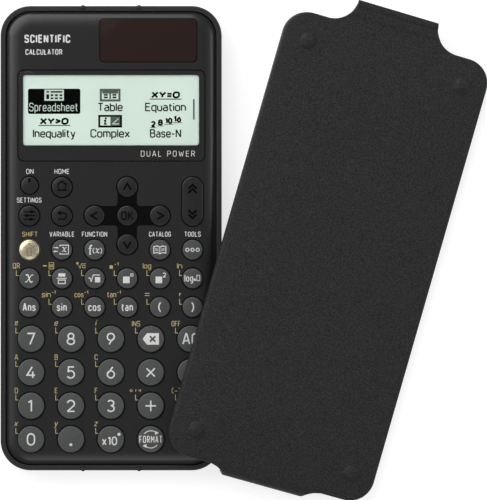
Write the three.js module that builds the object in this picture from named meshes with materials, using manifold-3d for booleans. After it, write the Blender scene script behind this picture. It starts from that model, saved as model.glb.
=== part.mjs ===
// A pocket scientific calculator and its separate snap-on hard cover.
// Millimetres, +Z up. The calculator lies on its back at z = 0, display end towards +Y, and the
// cover leans beside it: its right long edge is on the table and its left one is over the keys.

import * as THREE from 'three';
import { mergeVertices } from 'three/addons/utils/BufferGeometryUtils.js';
import Module from 'manifold-3d';

const wasm = await Module();
wasm.setup();

// ---- driving dimensions -------------------------------------------------------------------

const gap = 0.3;                 // clearance between neighbouring pieces
const past = 1;                  // how far a cutting tool runs past the face it cuts
const bite = 0.5;                // how far two joined shapes run into each other

// rear case: a tray whose rim shows all round the front panel
const caseWidth = 77;
const caseLength = 162;
const caseCorner = 10.5;
const caseWall = 1.5;
const caseFloor = 1.2;
const rimTop = 7.9;
const backInset = 1.5;           // how far the back face stands inside the rim
const backRise = 2.6;            // height over which the side rounds into the back face
const caseLevels = [
  { z: 0, inset: backInset },
  { z: backRise * 0.3, inset: backInset * 0.45 },
  { z: backRise, inset: 0 },
  { z: rimTop, inset: 0 },
];

// front case: the raised panel, with a flange that makes the floor of the groove round it
const panelWidth = 72.1;
const panelLength = 157.2;
const panelCorner = 8.1;
const panelTop = 9.6;
const panelUnder = 7.8;
const panelWall = 1.5;
const grooveFloor = 6.9;
const skirtBottom = 5.3;
const shoulder = 5.2;            // width of the soft shoulder along the panel's edge
const shoulderDrop = 0.95;

// small ribs on both ends that the cover's tongues snap over
const ribX = 9.8;
const ribRadius = 0.8;
const ribProud = 0.36;
const ribBottom = 3.2;
const ribTop = 7.6;

// keys: round caps, held from below by a flange
const keyTop = 10.7;
const navTop = 10.3;
const keyTravel = 1;
const flangeTop = panelUnder - gap;
const flangeHeight = 0.6;
const keyBottom = flangeTop - flangeHeight;
const flangeLip = 0.8;           // how far the flange stands out past the cap
const capEdge = 0.35;            // chamfer round the top of a cap
const holeGap = 0.35;            // ring of clearance round a cap

const smallKey = { radius: 3.5, pitchX: 11.4, pitchY: 10, sides: 12 };
const bigKey = { radius: 4.6, pitchX: 13.93, pitchY: 11.68, sides: 14 };
const onKey = { radius: 3.04, sides: 12 };
const pageKey = { width: 7.3, length: 17.2, x: 28.5, y: 12.8, flange: [6.55, 7.05] };
const pageRod = { z: 7.1, radius: 0.4 };   // the rod across the page key that it rocks on

const navRowY = 17.85;           // top row of the small keys: HOME and the UP arrow
const shiftRowY = -4.05;         // the row that starts with the shift key
const bigRowY = -35.15;          // first row of the big keys

// the cross-shaped recess round the arrow keys
const crossArm = 6.8;
const crossDepth = 0.35;

// display: a dark-bordered window over the liquid-crystal panel
const windowCentre = { x: 0.15, y: 42.8 };
const windowSize = { x: 65.1, y: 31.6, corner: 2 };
const windowThick = 0.9;
const windowTop = panelTop - 0.15;
const viewCentre = { x: 0, y: 44.7 };
const viewSize = { x: 61.5, y: 24.6, corner: 1 };
const lcdSize = { x: 66, y: 29.5 };
const lcdThick = 1.8;
const lcdTop = panelUnder - gap;

// solar panel: a stepped block that drops into the top of the front case
const solarCentre = { x: 13.05, y: 69.05 };
const solarSize = { x: 33.7, y: 14.9, corner: 1.4 };
const solarStep = 1.3;
const solarTop = panelTop - 0.1;
const solarSeat = 8.4;
const solarBottom = 6.9;

// circuit board, key mat and the elastomer strip that joins the board to the display
const boardBottom = 3;
const boardTop = 4;
const boardHalfWidth = 30;
const boardEnds = { low: -73, high: 78.5 };
const boardCorner = 5;           // cut off the corner that would meet the case's round one
const matBottom = boardTop + gap;
const matTop = 5;
const domeTop = keyBottom - keyTravel - 0.1;
const domeRadius = 2.2;
const domeDraft = 0.6;           // how much narrower a dome is at its top
const matHalfWidth = 30.8;
const matEnds = { low: -73.2, high: 22.6 };
const stripSize = { x: 58, y: 2.4 };
const stripY = 32.6;

// button cell, its cover in the back and the screw that holds the cover
const cellCentre = { x: -24.5, y: 69 };
const cellRadius = 5.8;
const cellBottom = 1.65;
const cellHeight = 5.4;
const cellStep = 1;              // the can's base is this much narrower than its body
const doorCentre = { x: -20, y: 69 };
const doorSize = { x: 26, y: 17, corner: 2.5 };
const doorThick = 1.4;
const padRim = 1.2;              // the pad in the case stands this much wider than the door
const padTop = 2.9;
const screwX = -12;
const screwPost = 2.1;           // radius of the post that takes the cover's screw
const screwHead = { radius: 2, height: 0.6, sink: 0.1 };
const screwShank = 0.9;
const screwTip = 4.4;
const screwSlot = { half: 1.1, width: 0.5 };
const contactSize = { width: 4, thick: 0.25, above: 0.2, reach: 3 };

// bosses for the case screws
const bossRadius = 2.8;
const bossTop = 5;
const bossPlaces = [[33.9, 56.5], [33.9, -9.1], [29.5, -76.3]];
const bossBore = { head: 1.9, headDepth: 2.4, shank: 0.9 };

// hard cover, in its own frame: x across, y along, z = 0 at the edge of its side walls
const cover = { width: 75.1, length: 160.5, corner: 8.7, height: 5.2, wall: 1.3, depth: 3.9 };
const tongueRoot = 3.8;          // how far a tongue runs back into the cover
const tongueFillet = 8.9;        // concave fillets on both sides of a tongue, seen from above
const tongueTuck = 1.6;          // height of a tongue's underside where it meets the end wall
const topTongue = { half: 14.8, reach: 8.9 };
const bottomTongue = { half: 12.2, reach: 3.1 };
const domeBump = { x: 28.4, y: 70.3, radius: 2.5, height: 0.9, sink: 0.12 };
const coverCentre = { x: 75.65, y: -6.5 };
const coverTurn = -16;           // degrees about +Z
const coverRest = 2.05;          // how far the raised edge stays above the key tops

// ---- geometry helpers ---------------------------------------------------------------------

// The points of a rounded rectangle, anticlockwise, with a fixed count for a given `steps`.
function roundedOutline(width, length, corner, steps = 5) {
  const points = [];
  for (const [signX, signY, start] of [[1, 1, 0], [-1, 1, 90], [-1, -1, 180], [1, -1, 270]]) {
    const x = signX * (width / 2 - corner);
    const y = signY * (length / 2 - corner);
    for (let i = 0; i <= steps; i += 1) {
      const angle = THREE.MathUtils.degToRad(start + (90 * i) / steps);
      points.push(new THREE.Vector2(x + corner * Math.cos(angle), y + corner * Math.sin(angle)));
    }
  }
  return points;
}

// A closed solid through convex outlines stacked in z, each section being { z, points }.
function loft(sections) {
  const count = sections[0].points.length;
  const position = [];
  for (const { z, points } of sections) {
    points.forEach((p) => position.push(p.x, p.y, z));
  }
  const index = [];
  for (let s = 0; s < sections.length - 1; s += 1) {
    for (let i = 0; i < count; i += 1) {
      const a = s * count + i;
      const b = s * count + ((i + 1) % count);
      index.push(a, b, b + count, a, b + count, a + count);
    }
  }
  const last = (sections.length - 1) * count;
  for (let i = 1; i < count - 1; i += 1) {
    index.push(0, i + 1, i);
    index.push(last, last + i, last + i + 1);
  }
  const geometry = new THREE.BufferGeometry();
  geometry.setAttribute('position', new THREE.Float32BufferAttribute(position, 3));
  geometry.setIndex(index);
  return geometry;
}

// A rounded block whose sides step in by `inset` at each level.
function roundedBlock(width, length, corner, levels, steps) {
  return loft(levels.map(({ z, inset = 0 }) => ({
    z,
    points: roundedOutline(
      width - 2 * inset,
      length - 2 * inset,
      Math.max(corner - inset, 0.3),
      steps,
    ),
  })));
}

// An upright prism of a THREE.Shape from z = low to z = high.
function prism(shape, low, high, curveSegments = 6) {
  const geometry = new THREE.ExtrudeGeometry(shape, {
    depth: high - low,
    bevelEnabled: false,
    curveSegments,
  });
  return geometry.translate(0, 0, low);
}

// An upright solid of revolution; the profile holds [radius, z] and starts and ends on the axis.
function turned(profile, sides) {
  const points = profile.map(([radius, z]) => new THREE.Vector2(radius, z));
  return new THREE.LatheGeometry(points, sides).rotateX(Math.PI / 2);
}

function box(low, high) {
  const size = high.map((value, i) => value - low[i]);
  const centre = high.map((value, i) => (value + low[i]) / 2);
  return new THREE.BoxGeometry(...size).translate(...centre);
}

function cylinder(x, y, radius, low, high, sides = 16) {
  return turned([[0, low], [radius, low], [radius, high], [0, high]], sides).translate(x, y, 0);
}

// A three.js geometry as a manifold solid, for joining and cutting.
function solid(geometry) {
  const bare = geometry.clone();
  bare.deleteAttribute('normal');
  bare.deleteAttribute('uv');
  const merged = mergeVertices(bare, 1e-4);
  return new wasm.Manifold(new wasm.Mesh({
    numProp: 3,
    vertProperties: new Float32Array(merged.attributes.position.array),
    triVerts: new Uint32Array(merged.index.array),
  }));
}

function join(...geometries) {
  return geometries.map(solid).reduce((sum, piece) => sum.add(piece));
}

function cut(body, ...geometries) {
  return geometries.map(solid).reduce((rest, tool) => rest.subtract(tool), body);
}

function toGeometry(manifold) {
  const { vertProperties, triVerts } = manifold.getMesh();
  const geometry = new THREE.BufferGeometry();
  geometry.setAttribute('position', new THREE.BufferAttribute(vertProperties, 3));
  geometry.setIndex(new THREE.BufferAttribute(triVerts, 1));
  return geometry;
}

// ---- materials ----------------------------------------------------------------------------

function plastic(color, roughness) {
  return new THREE.MeshStandardMaterial({ color, roughness, metalness: 0 });
}

const materials = {
  caseBlack: plastic(0x252627, 0.55),
  panelBlack: plastic(0x1d1e1f, 0.5),
  keyGrey: plastic(0x4a4b4d, 0.45),
  keyBlack: plastic(0x202122, 0.5),
  keyGold: new THREE.MeshStandardMaterial({ color: 0xb7a578, roughness: 0.35, metalness: 0.6 }),
  coverBlack: plastic(0x2b2c2d, 0.75),
  windowClear: plastic(0xd6e6dc, 0.1),
  lcdGreen: plastic(0xd2dfd4, 0.3),
  solarBrown: plastic(0x2b1d1b, 0.15),
  boardGreen: plastic(0x1f5a36, 0.6),
  rubberGrey: plastic(0x8a8c8c, 0.9),
  steel: new THREE.MeshStandardMaterial({ color: 0xb9bcc0, roughness: 0.3, metalness: 1 }),
};

// ---- the calculator -----------------------------------------------------------------------

const calculator = new THREE.Group();

function place(name, geometry, material, x = 0, y = 0) {
  const mesh = new THREE.Mesh(geometry, material);
  mesh.name = name;
  mesh.position.set(x, y, 0);
  calculator.add(mesh);
}

// Every key: its name, kind, centre and colour, worked out from the rows and the pitches.
function smallKeyRow(names, y, columns, material, top) {
  return names.map((name, i) => ({
    name,
    size: smallKey,
    x: (columns[i] - 2.5) * smallKey.pitchX,
    y,
    material,
    top,
  }));
}

function keyLayout() {
  const middleY = navRowY - smallKey.pitchY;
  const downY = middleY - smallKey.pitchY;
  const rows = [
    smallKeyRow(['home_key', 'up_key'], navRowY, [1, 3], materials.keyBlack, navTop),
    smallKeyRow(
      ['settings_key', 'back_key', 'left_key', 'ok_key', 'right_key'],
      middleY, [0, 1, 2, 3, 4], materials.keyBlack, navTop,
    ),
    smallKeyRow(['down_key'], downY, [3], materials.keyBlack, navTop),
    smallKeyRow(['shift_key'], shiftRowY, [0], materials.keyGold, keyTop),
    smallKeyRow(
      ['variable_key', 'function_key', 'catalog_key', 'tools_key'],
      shiftRowY, [1, 2, 4, 5], materials.keyGrey, keyTop,
    ),
    smallKeyRow(
      ['x_key', 'fraction_key', 'root_key', 'power_key', 'square_key', 'log_key'],
      shiftRowY - smallKey.pitchY, [0, 1, 2, 3, 4, 5], materials.keyGrey, keyTop,
    ),
    smallKeyRow(
      ['answer_key', 'sin_key', 'cos_key', 'tan_key', 'open_bracket_key', 'close_bracket_key'],
      shiftRowY - 2 * smallKey.pitchY, [0, 1, 2, 3, 4, 5], materials.keyGrey, keyTop,
    ),
  ];
  const bigNames = [
    ['seven_key', 'eight_key', 'nine_key', 'delete_key', 'clear_key'],
    ['four_key', 'five_key', 'six_key', 'multiply_key', 'divide_key'],
    ['one_key', 'two_key', 'three_key', 'add_key', 'subtract_key'],
    ['zero_key', 'point_key', 'exponent_key', 'format_key', 'execute_key'],
  ];
  bigNames.forEach((names, row) => {
    rows.push(names.map((name, column) => ({
      name,
      size: bigKey,
      x: (column - 2) * bigKey.pitchX,
      y: bigRowY - row * bigKey.pitchY,
      material: materials.keyGrey,
      top: keyTop,
    })));
  });
  rows.push([{
    name: 'on_key',
    size: onKey,
    x: -28.4,
    y: navRowY + 0.6,
    material: materials.keyBlack,
    top: navTop,
  }]);
  return rows.flat();
}

const keys = keyLayout();

// A cap with a chamfered, slightly crowned top over a flange that can't pass through its hole.
function keyCap({ size, top }) {
  const { radius, sides } = size;
  const flange = radius + flangeLip;
  return turned([
    [0, keyBottom],
    [flange, keyBottom],
    [flange, flangeTop],
    [radius, flangeTop],
    [radius, top - capEdge],
    [radius - capEdge, top],
    [0, top],
  ], sides);
}

// The page key is one long rocker with a round end over each of its two contacts. It turns on a
// rod whose ends lie under the panel. Its flange sits lower than the others, so that the end that
// rises stays clear of the panel.
function pageRocker() {
  const { width, length, flange } = pageKey;
  const [low, high] = flange;
  const rodLength = width + 2 * flangeLip;
  const rod = new THREE.CylinderGeometry(pageRod.radius, pageRod.radius, rodLength, 10);
  rod.rotateZ(Math.PI / 2);
  rod.translate(0, 0, pageRod.z);
  const foot = roundedBlock(width, length, width / 2, [
    { z: low, inset: -flangeLip },
    { z: high, inset: -flangeLip },
  ], 5);
  const cap = roundedBlock(width, length, width / 2, [
    { z: (low + high) / 2 },
    { z: navTop - capEdge },
    { z: navTop, inset: capEdge },
  ], 5);
  return toGeometry(join(foot, cap, rod));
}

// A rounded plate standing where the battery cover is, `wider` than it all round.
function doorBlock(wider, low, high) {
  return roundedBlock(
    doorSize.x + 2 * wider, doorSize.y + 2 * wider, doorSize.corner, [{ z: low }, { z: high }], 3,
  ).translate(doorCentre.x, doorCentre.y, 0);
}

// The same upright cylinder at every boss of the case screws.
function atBosses(radius, low, high, sides) {
  return bossPlaces.flatMap(([x, y]) => [-1, 1].map(
    (side) => cylinder(side * x, y, radius, low, high, sides),
  ));
}

function endRibs() {
  const ribs = [];
  for (const end of [-1, 1]) {
    for (const side of [-1, 1]) {
      const y = end * (caseLength / 2 + ribProud - ribRadius);
      ribs.push(cylinder(side * ribX, y, ribRadius, ribBottom, ribTop, 12));
    }
  }
  return ribs;
}

function rearCase() {
  const outer = roundedBlock(caseWidth, caseLength, caseCorner, caseLevels, 6);
  const hollow = roundedBlock(caseWidth, caseLength, caseCorner, [
    { z: caseFloor, inset: caseWall },
    { z: rimTop + past, inset: caseWall },
  ], 6);
  // the bosses stand half in the side wall, and nothing of them shows outside it
  const bosses = join(...atBosses(bossRadius, caseFloor / 2, bossTop, 12)).intersect(solid(outer));
  const tray = cut(solid(outer), hollow)
    .add(bosses)
    .add(join(
      ...endRibs(),
      doorBlock(padRim, caseFloor / 2, padTop),
      cylinder(screwX, doorCentre.y, screwPost, padTop - bite, screwTip, 10),
    ));
  return toGeometry(cut(
    tray,
    doorBlock(gap, -past, doorThick + gap),
    cylinder(cellCentre.x, cellCentre.y, cellRadius + gap, -past, padTop + past, 20),
    cylinder(screwX, doorCentre.y, screwShank + gap, -past, screwTip + past, 10),
    ...atBosses(bossBore.head, -past, bossBore.headDepth, 12),
    ...atBosses(bossBore.shank, -past, bossTop + past, 8),
  ));
}

// A rounded opening cut down from above the panel to z = low.
function panelOpening(centre, { x, y, corner }, wider, low) {
  return roundedBlock(
    x + 2 * wider, y + 2 * wider, corner + Math.max(wider, 0),
    [{ z: low }, { z: panelTop + past }], 3,
  ).translate(centre.x, centre.y, 0);
}

// The two arms of the cross-shaped recess, centred on the OK key.
function crossRecess() {
  const { x, y } = keys.find((key) => key.name === 'ok_key');
  const half = crossArm / 2;
  const low = panelTop - crossDepth;
  const high = panelTop + past;
  return [
    box([x - smallKey.pitchX, y - half, low], [x + smallKey.pitchX, y + half, high]),
    box([x - half, y - smallKey.pitchY, low], [x + half, y + smallKey.pitchY, high]),
  ];
}

function keyHoles() {
  const low = panelUnder - past;
  const high = panelTop + past;
  const holes = keys.map(
    ({ size, x, y }) => cylinder(x, y, size.radius + holeGap, low, high, size.sides),
  );
  const slot = { x: pageKey.width, y: pageKey.length, corner: pageKey.width / 2 };
  holes.push(roundedBlock(
    slot.x + 2 * holeGap, slot.y + 2 * holeGap, slot.corner + holeGap,
    [{ z: low }, { z: high }], 5,
  ).translate(pageKey.x, pageKey.y, 0));
  return holes;
}

function frontCase() {
  const flangeOut = (caseWidth - 2 * caseWall - 2 * gap - panelWidth) / 2;
  const outer = roundedBlock(panelWidth, panelLength, panelCorner, [
    { z: grooveFloor - bite },
    { z: panelTop - shoulderDrop },
    { z: panelTop - shoulderDrop * 0.46, inset: shoulder * 0.3 },
    { z: panelTop, inset: shoulder },
  ], 6);
  const flange = roundedBlock(panelWidth, panelLength, panelCorner, [
    { z: skirtBottom, inset: -flangeOut },
    { z: grooveFloor, inset: -flangeOut },
  ], 6);
  const inside = roundedBlock(panelWidth, panelLength, panelCorner, [
    { z: skirtBottom - past, inset: panelWall },
    { z: panelUnder, inset: panelWall },
  ], 6);
  return toGeometry(cut(
    join(flange, outer),
    inside,
    panelOpening(windowCentre, windowSize, gap, windowTop - windowThick - gap),
    panelOpening(viewCentre, viewSize, 0, panelUnder - past),
    panelOpening(solarCentre, solarSize, gap, solarSeat - gap),
    panelOpening(solarCentre, solarSize, gap - solarStep, panelUnder - past),
    ...crossRecess(),
    ...keyHoles(),
  ));
}

function displayWindow() {
  return roundedBlock(windowSize.x, windowSize.y, windowSize.corner, [
    { z: windowTop - windowThick },
    { z: windowTop },
  ], 4);
}

function lcdPanel() {
  return box(
    [-lcdSize.x / 2, -lcdSize.y / 2, lcdTop - lcdThick],
    [lcdSize.x / 2, lcdSize.y / 2, lcdTop],
  );
}

function solarPanel() {
  const { x, y, corner } = solarSize;
  return toGeometry(join(
    roundedBlock(x, y, corner, [{ z: solarSeat }, { z: solarTop }], 3),
    roundedBlock(
      x - 2 * solarStep, y - 2 * solarStep, corner,
      [{ z: solarBottom }, { z: solarSeat + bite }], 3,
    ),
  ));
}

// The board clears the battery compartment with a cut corner.
function circuitBoard() {
  const cornerX = doorCentre.x + doorSize.x / 2 + padRim + gap;
  const cornerY = doorCentre.y - doorSize.y / 2 - padRim - gap;
  const shape = new THREE.Shape();
  shape.moveTo(-boardHalfWidth, boardEnds.low);
  shape.lineTo(boardHalfWidth, boardEnds.low);
  shape.lineTo(boardHalfWidth, boardEnds.high - boardCorner);
  shape.lineTo(boardHalfWidth - boardCorner, boardEnds.high);
  shape.lineTo(cornerX, boardEnds.high);
  shape.lineTo(cornerX, cornerY);
  shape.lineTo(-boardHalfWidth, cornerY);
  return prism(shape, boardBottom, boardTop);
}

// One rubber sheet with a dome under every key, and two under the page rocker.
function keyMat() {
  let mat = solid(box(
    [-matHalfWidth, matEnds.low, matBottom],
    [matHalfWidth, matEnds.high, matTop],
  ));
  const pageReach = pageKey.length / 2 - pageKey.width / 2;
  const places = keys.map(({ x, y }) => [x, y]);
  places.push([pageKey.x, pageKey.y + pageReach], [pageKey.x, pageKey.y - pageReach]);
  for (const [x, y] of places) {
    const dome = turned([
      [0, matTop - bite],
      [domeRadius, matTop - bite],
      [domeRadius, matTop],
      [domeRadius - domeDraft, domeTop],
      [0, domeTop],
    ], 6);
    mat = mat.add(solid(dome.translate(x, y, 0)));
  }
  return toGeometry(mat);
}

function displayStrip() {
  return box(
    [-stripSize.x / 2, -stripSize.y / 2, boardTop + gap],
    [stripSize.x / 2, stripSize.y / 2, lcdTop - lcdThick - gap],
  );
}

function buttonCell() {
  const top = cellBottom + cellHeight;
  return turned([
    [0, cellBottom],
    [cellRadius - cellStep, cellBottom],
    [cellRadius - cellStep, cellBottom + 0.35],
    [cellRadius, cellBottom + 0.6],
    [cellRadius, top - 0.2],
    [cellRadius - 0.2, top],
    [0, top],
  ], 24);
}

// A strip over the cell that bends down beside it to the board.
function batteryContact() {
  const { width, thick, above, reach } = contactSize;
  const low = cellBottom + cellHeight + above;
  const legX = doorCentre.x + doorSize.x / 2 + padRim + 5 * gap;
  return toGeometry(join(
    box([cellCentre.x - reach, -width / 2, low], [legX, width / 2, low + thick]),
    box([legX - thick, -width / 2, boardTop + gap], [legX, width / 2, low + thick / 2]),
  ));
}

function batteryDoor() {
  const plate = roundedBlock(
    doorSize.x, doorSize.y, doorSize.corner, [{ z: 0 }, { z: doorThick }], 4,
  );
  const x = screwX - doorCentre.x;
  return toGeometry(cut(
    solid(plate),
    cylinder(x, 0, screwHead.radius + gap, -past, screwHead.sink + screwHead.height + gap, 16),
    cylinder(x, 0, screwShank + gap, -past, doorThick + past, 10),
  ));
}

function batteryScrew() {
  const { radius, height, sink } = screwHead;
  const body = solid(turned([
    [0, sink],
    [radius - 0.2, sink],
    [radius, sink + 0.2],
    [radius, sink + height],
    [screwShank, sink + height],
    [screwShank, screwTip - 0.6],
    [0, screwTip],
  ], 16));
  const slotTop = sink + height / 2;
  const { half, width } = screwSlot;
  return toGeometry(cut(
    body,
    box([-half, -width / 2, -past], [half, width / 2, slotTop]),
    box([-width / 2, -half, -past], [width / 2, half, slotTop]),
  ));
}

// ---- the hard cover -----------------------------------------------------------------------

// Plan of a tongue: a concave quarter round on each side, cut off where the tongue ends.
function tonguePlan({ half, reach }) {
  const end = cover.length / 2;
  const centreX = half + tongueFillet;
  const centreY = end + tongueFillet;
  const cutOff = Math.asin(Math.max(1 - reach / tongueFillet, 0));
  const shape = new THREE.Shape();
  shape.moveTo(-centreX, end - tongueRoot);
  shape.lineTo(centreX, end - tongueRoot);
  shape.absarc(centreX, centreY, tongueFillet, -Math.PI / 2, cutOff - Math.PI, true);
  shape.absarc(-centreX, centreY, tongueFillet, -cutOff, -Math.PI / 2, true);
  return shape;
}

// Side view of the upper face of a tongue, as [distance past the cover's end, height]. The long
// one ends as a finger tab with a crease, a groove and a lip; the short one hooks over the case.
const longUpper = [
  [-tongueRoot, 5.1], [-0.6, 4.3], [1.8, 2.6], [2.7, 0.5], [6.6, -0.5], [6.9, -0.1],
  [topTongue.reach, -0.6],
];
const longLower = [[topTongue.reach, -1.9], [2.6, -1.9], [1.4, -0.4]];
const shortUpper = [[-tongueRoot, 5.1], [-0.6, 4.3], [1.8, 3.2], [bottomTongue.reach, 0.4]];
const shortLower = [
  [bottomTongue.reach, -2.2],
  [bottomTongue.reach - cover.wall, -2.2],
  [bottomTongue.reach - cover.wall, 0],
];

function tongue(dimensions, upper, lower) {
  const end = cover.length / 2;
  const outline = [...upper, ...lower, [0.6, tongueTuck], [-tongueRoot, tongueTuck]];
  const shape = new THREE.Shape(outline.map(([along, z]) => new THREE.Vector2(end + along, z)));
  const width = 2 * (dimensions.half + tongueFillet);
  const side = new THREE.ExtrudeGeometry(shape, { depth: width, bevelEnabled: false });
  // shape x runs along the cover, shape y is height, and the depth runs across the cover
  side.applyMatrix4(new THREE.Matrix4().makeBasis(
    new THREE.Vector3(0, 1, 0),
    new THREE.Vector3(0, 0, 1),
    new THREE.Vector3(1, 0, 0),
  ));
  side.translate(-width / 2, 0, 0);
  return solid(side).intersect(solid(prism(tonguePlan(dimensions), -5, cover.height, 8)));
}

function coverDomes() {
  const { x, y, radius, height, sink } = domeBump;
  const domes = [];
  for (const signX of [-1, 1]) {
    for (const signY of [-1, 1]) {
      const dome = new THREE.SphereGeometry(radius, 12, 8);
      dome.rotateX(Math.PI / 2);
      dome.scale(1, 1, height / radius);
      dome.translate(signX * x, signY * y, cover.height - sink);
      domes.push(dome);
    }
  }
  return join(...domes);
}

function hardCover() {
  const { width, length, corner, height, wall, depth } = cover;
  const outer = roundedBlock(width, length, corner, [
    { z: 0 },
    { z: height - 1.9 },
    { z: height - 0.8, inset: 0.6 },
    { z: height - 0.2, inset: 2.2 },
    { z: height, inset: 6 },
  ], 6);
  const inner = roundedBlock(width, length, corner, [
    { z: -past, inset: wall },
    { z: depth - 1, inset: wall },
    { z: depth, inset: wall + 2.5 },
  ], 6);
  const halfTurn = new THREE.Matrix4().makeRotationZ(Math.PI);
  const shell = solid(outer)
    .add(tongue(topTongue, longUpper, longLower))
    .add(tongue(bottomTongue, shortUpper, shortLower).transform(halfTurn.elements));
  return toGeometry(cut(shell, inner).add(coverDomes()));
}

// The cover leans: turned in plan, its right edge on the table, its left edge over the keys.
function leaningCover() {
  const lean = Math.asin((keyTop + coverRest) / cover.width);
  const mesh = new THREE.Mesh(hardCover(), materials.coverBlack);
  mesh.name = 'hard_cover';
  mesh.rotation.y = lean;
  mesh.position.z = (cover.width / 2) * Math.sin(lean);
  const turn = new THREE.Group();
  turn.rotation.z = THREE.MathUtils.degToRad(coverTurn);
  turn.position.set(coverCentre.x, coverCentre.y, 0);
  turn.add(mesh);
  return turn;
}

// ---- assembly -----------------------------------------------------------------------------

place('rear_case', rearCase(), materials.caseBlack);
place('front_case', frontCase(), materials.panelBlack);
place('display_window', displayWindow(), materials.windowClear, windowCentre.x, windowCentre.y);
place('lcd_panel', lcdPanel(), materials.lcdGreen, viewCentre.x, viewCentre.y);
place('solar_panel', solarPanel(), materials.solarBrown, solarCentre.x, solarCentre.y);
place('circuit_board', circuitBoard(), materials.boardGreen);
place('key_mat', keyMat(), materials.rubberGrey);
place('display_connector', displayStrip(), materials.rubberGrey, 0, stripY);
place('button_cell', buttonCell(), materials.steel, cellCentre.x, cellCentre.y);
place('battery_contact', batteryContact(), materials.steel, 0, cellCentre.y);
place('battery_cover', batteryDoor(), materials.caseBlack, doorCentre.x, doorCentre.y);
place('battery_screw', batteryScrew(), materials.steel, screwX, doorCentre.y);
for (const key of keys) {
  place(key.name, keyCap(key), key.material, key.x, key.y);
}
place('page_key', pageRocker(), materials.keyBlack, pageKey.x, pageKey.y);
calculator.add(leaningCover());

export default calculator;
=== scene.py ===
"""Looks of a pocket scientific calculator and its hard cover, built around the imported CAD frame.

Shapes are worked out in millimetres in the frame's own axes and go into the scene in metres.
"""

import math

import bmesh
import bpy
from mathutils import Matrix, Vector


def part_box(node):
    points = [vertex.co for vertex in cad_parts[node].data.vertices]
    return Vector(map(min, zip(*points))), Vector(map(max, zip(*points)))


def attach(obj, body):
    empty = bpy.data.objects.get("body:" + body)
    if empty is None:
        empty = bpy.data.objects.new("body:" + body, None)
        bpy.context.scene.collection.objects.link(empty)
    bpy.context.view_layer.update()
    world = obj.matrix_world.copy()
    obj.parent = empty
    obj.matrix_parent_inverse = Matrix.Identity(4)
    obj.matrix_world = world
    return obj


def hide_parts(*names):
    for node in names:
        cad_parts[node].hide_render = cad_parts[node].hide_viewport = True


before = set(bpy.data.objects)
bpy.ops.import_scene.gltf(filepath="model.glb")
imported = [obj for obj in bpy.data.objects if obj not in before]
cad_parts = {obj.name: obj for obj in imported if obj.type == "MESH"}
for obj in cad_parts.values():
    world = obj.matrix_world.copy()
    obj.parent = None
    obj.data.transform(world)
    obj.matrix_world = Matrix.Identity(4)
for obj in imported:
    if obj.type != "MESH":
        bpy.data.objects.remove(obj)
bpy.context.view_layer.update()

MM = 0.001

# ---- dimensions that the frame doesn't state (mm) -------------------------------------------

# the raised front panel; every height is above the calculator's back
PANEL_SIZE = (71.7, 156.8)
PANEL_CORNER = 8.1
PANEL_TOP = 9.6
PANEL_UNDER = 7.8
PANEL_WALL = 1.5
SHOULDER = 5.2                 # width of the panel's soft shoulder
SHOULDER_DROP = 0.95
SHOULDER_FOOT = 0.35           # rounding between the shoulder and the upright wall
GROOVE_FLOOR = 6.9
SKIRT_BOTTOM = 5.3
FLANGE_OUT = 0.65              # the skirt's flange stands this far out past the panel
CROSS_ARM = 6.8                # the glossy cross round the arrow keys
CROSS_DEPTH = 0.35
CROSS_FILLET = 1.1
GAP = 0.3                      # between pieces that lie in one another

# the tray-shaped rear half, whose rim shows round the panel
CASE_SIZE = (77.3, 162.3)
CASE_CORNER = 10.5
CASE_WALL = 1.85
CASE_FLOOR = 1.2
CASE_ROUND = (1.5, 2.6)        # width and height of the rounded lower edge
RIM_TOP = 7.9
RIB_X = 9.8                    # the small ribs on both ends that the cover snaps over
RIB_RADIUS = 0.8
RIB_PROUD = 0.36
BOSS_PLACES = [(side * x, y) for x, y in ((33.9, 56.5), (33.9, -9.1), (29.5, -76.3))
               for side in (-1, 1)]

# display and keys
VIEW_SIZE = (61.5, 24.6)       # the opening over the display
WINDOW_CORNER = 2.0
LCD_STEP = 1.2                 # the front glass stands this far into the surround's opening
SOLAR_CORNER = 1.4
KEY_FLANGE_LIP = 0.8
KEY_HOLE_GAP = 0.32
CAP_FILLET = 0.38
BIG_KEY = 4.0                  # caps with a larger radius than this carry the numbers

# printing
PRINT_THICK = 0.03             # how far printed ink stands up
LAYER_THICK = 0.0015           # strokes that cross lie this far apart
PRINT_LAYERS = 11
HAIRPIN = -0.6                 # cosine of the turn past which a pen corner isn't mitred
LABEL_HEIGHT = 1.75
LABEL_PEN = 0.22
LABEL_SPACE = 1.1              # gap between the letters of a label, in pen widths
LABEL_RISE = 5.45              # from a key's centre up to the centre of its label

# the hard cover, in its own frame: x across, y along, z = 0 at the edge of its side walls
COVER_SIZE = (75.1, 160.5)
COVER_CORNER = 8.7
COVER_HEIGHT = 5.9
COVER_WALL = 1.3
COVER_DEPTH = 3.6              # of the hollow under it
CROWN_WIDTH = 30.0             # its face falls away over this distance from the edge
CROWN_DROP = 2.3
EDGE_ROUND = 0.9
EDGE_DROP = 0.7
COVER_CENTRE = (75.65, -6.5)
COVER_TURN = math.radians(-16)
COVER_REST = 2.05              # how far its raised edge stays above the key tops
TONGUE_FILLET = 8.9            # concave quarter rounds beside a tongue, seen from above
LONG_TONGUE_HALF = 14.8
SHORT_TONGUE_HALF = 12.2
TAB_REACH = 8.9
HOOK_REACH = 3.1
FOOT_DOME = (3.1, 1.35)        # radius and height of the low domes near its corners
FOOT_X, FOOT_Y = 28.4, 70.3

# light and floor
WORLD_LIGHT = 0.23
FLOOR_SHADE = 0.45
FLOOR_GLOW = 0.72
FLOOR_REACH = 3.0              # m
LIGHT_TARGET = Vector((0.045, 0.0, 0.0))


# ---- the frame ----------------------------------------------------------------------------------


def node_box(node):
    """Lowest and highest corner of a CAD node, in mm."""
    low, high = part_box(node)
    return low / MM, high / MM


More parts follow.
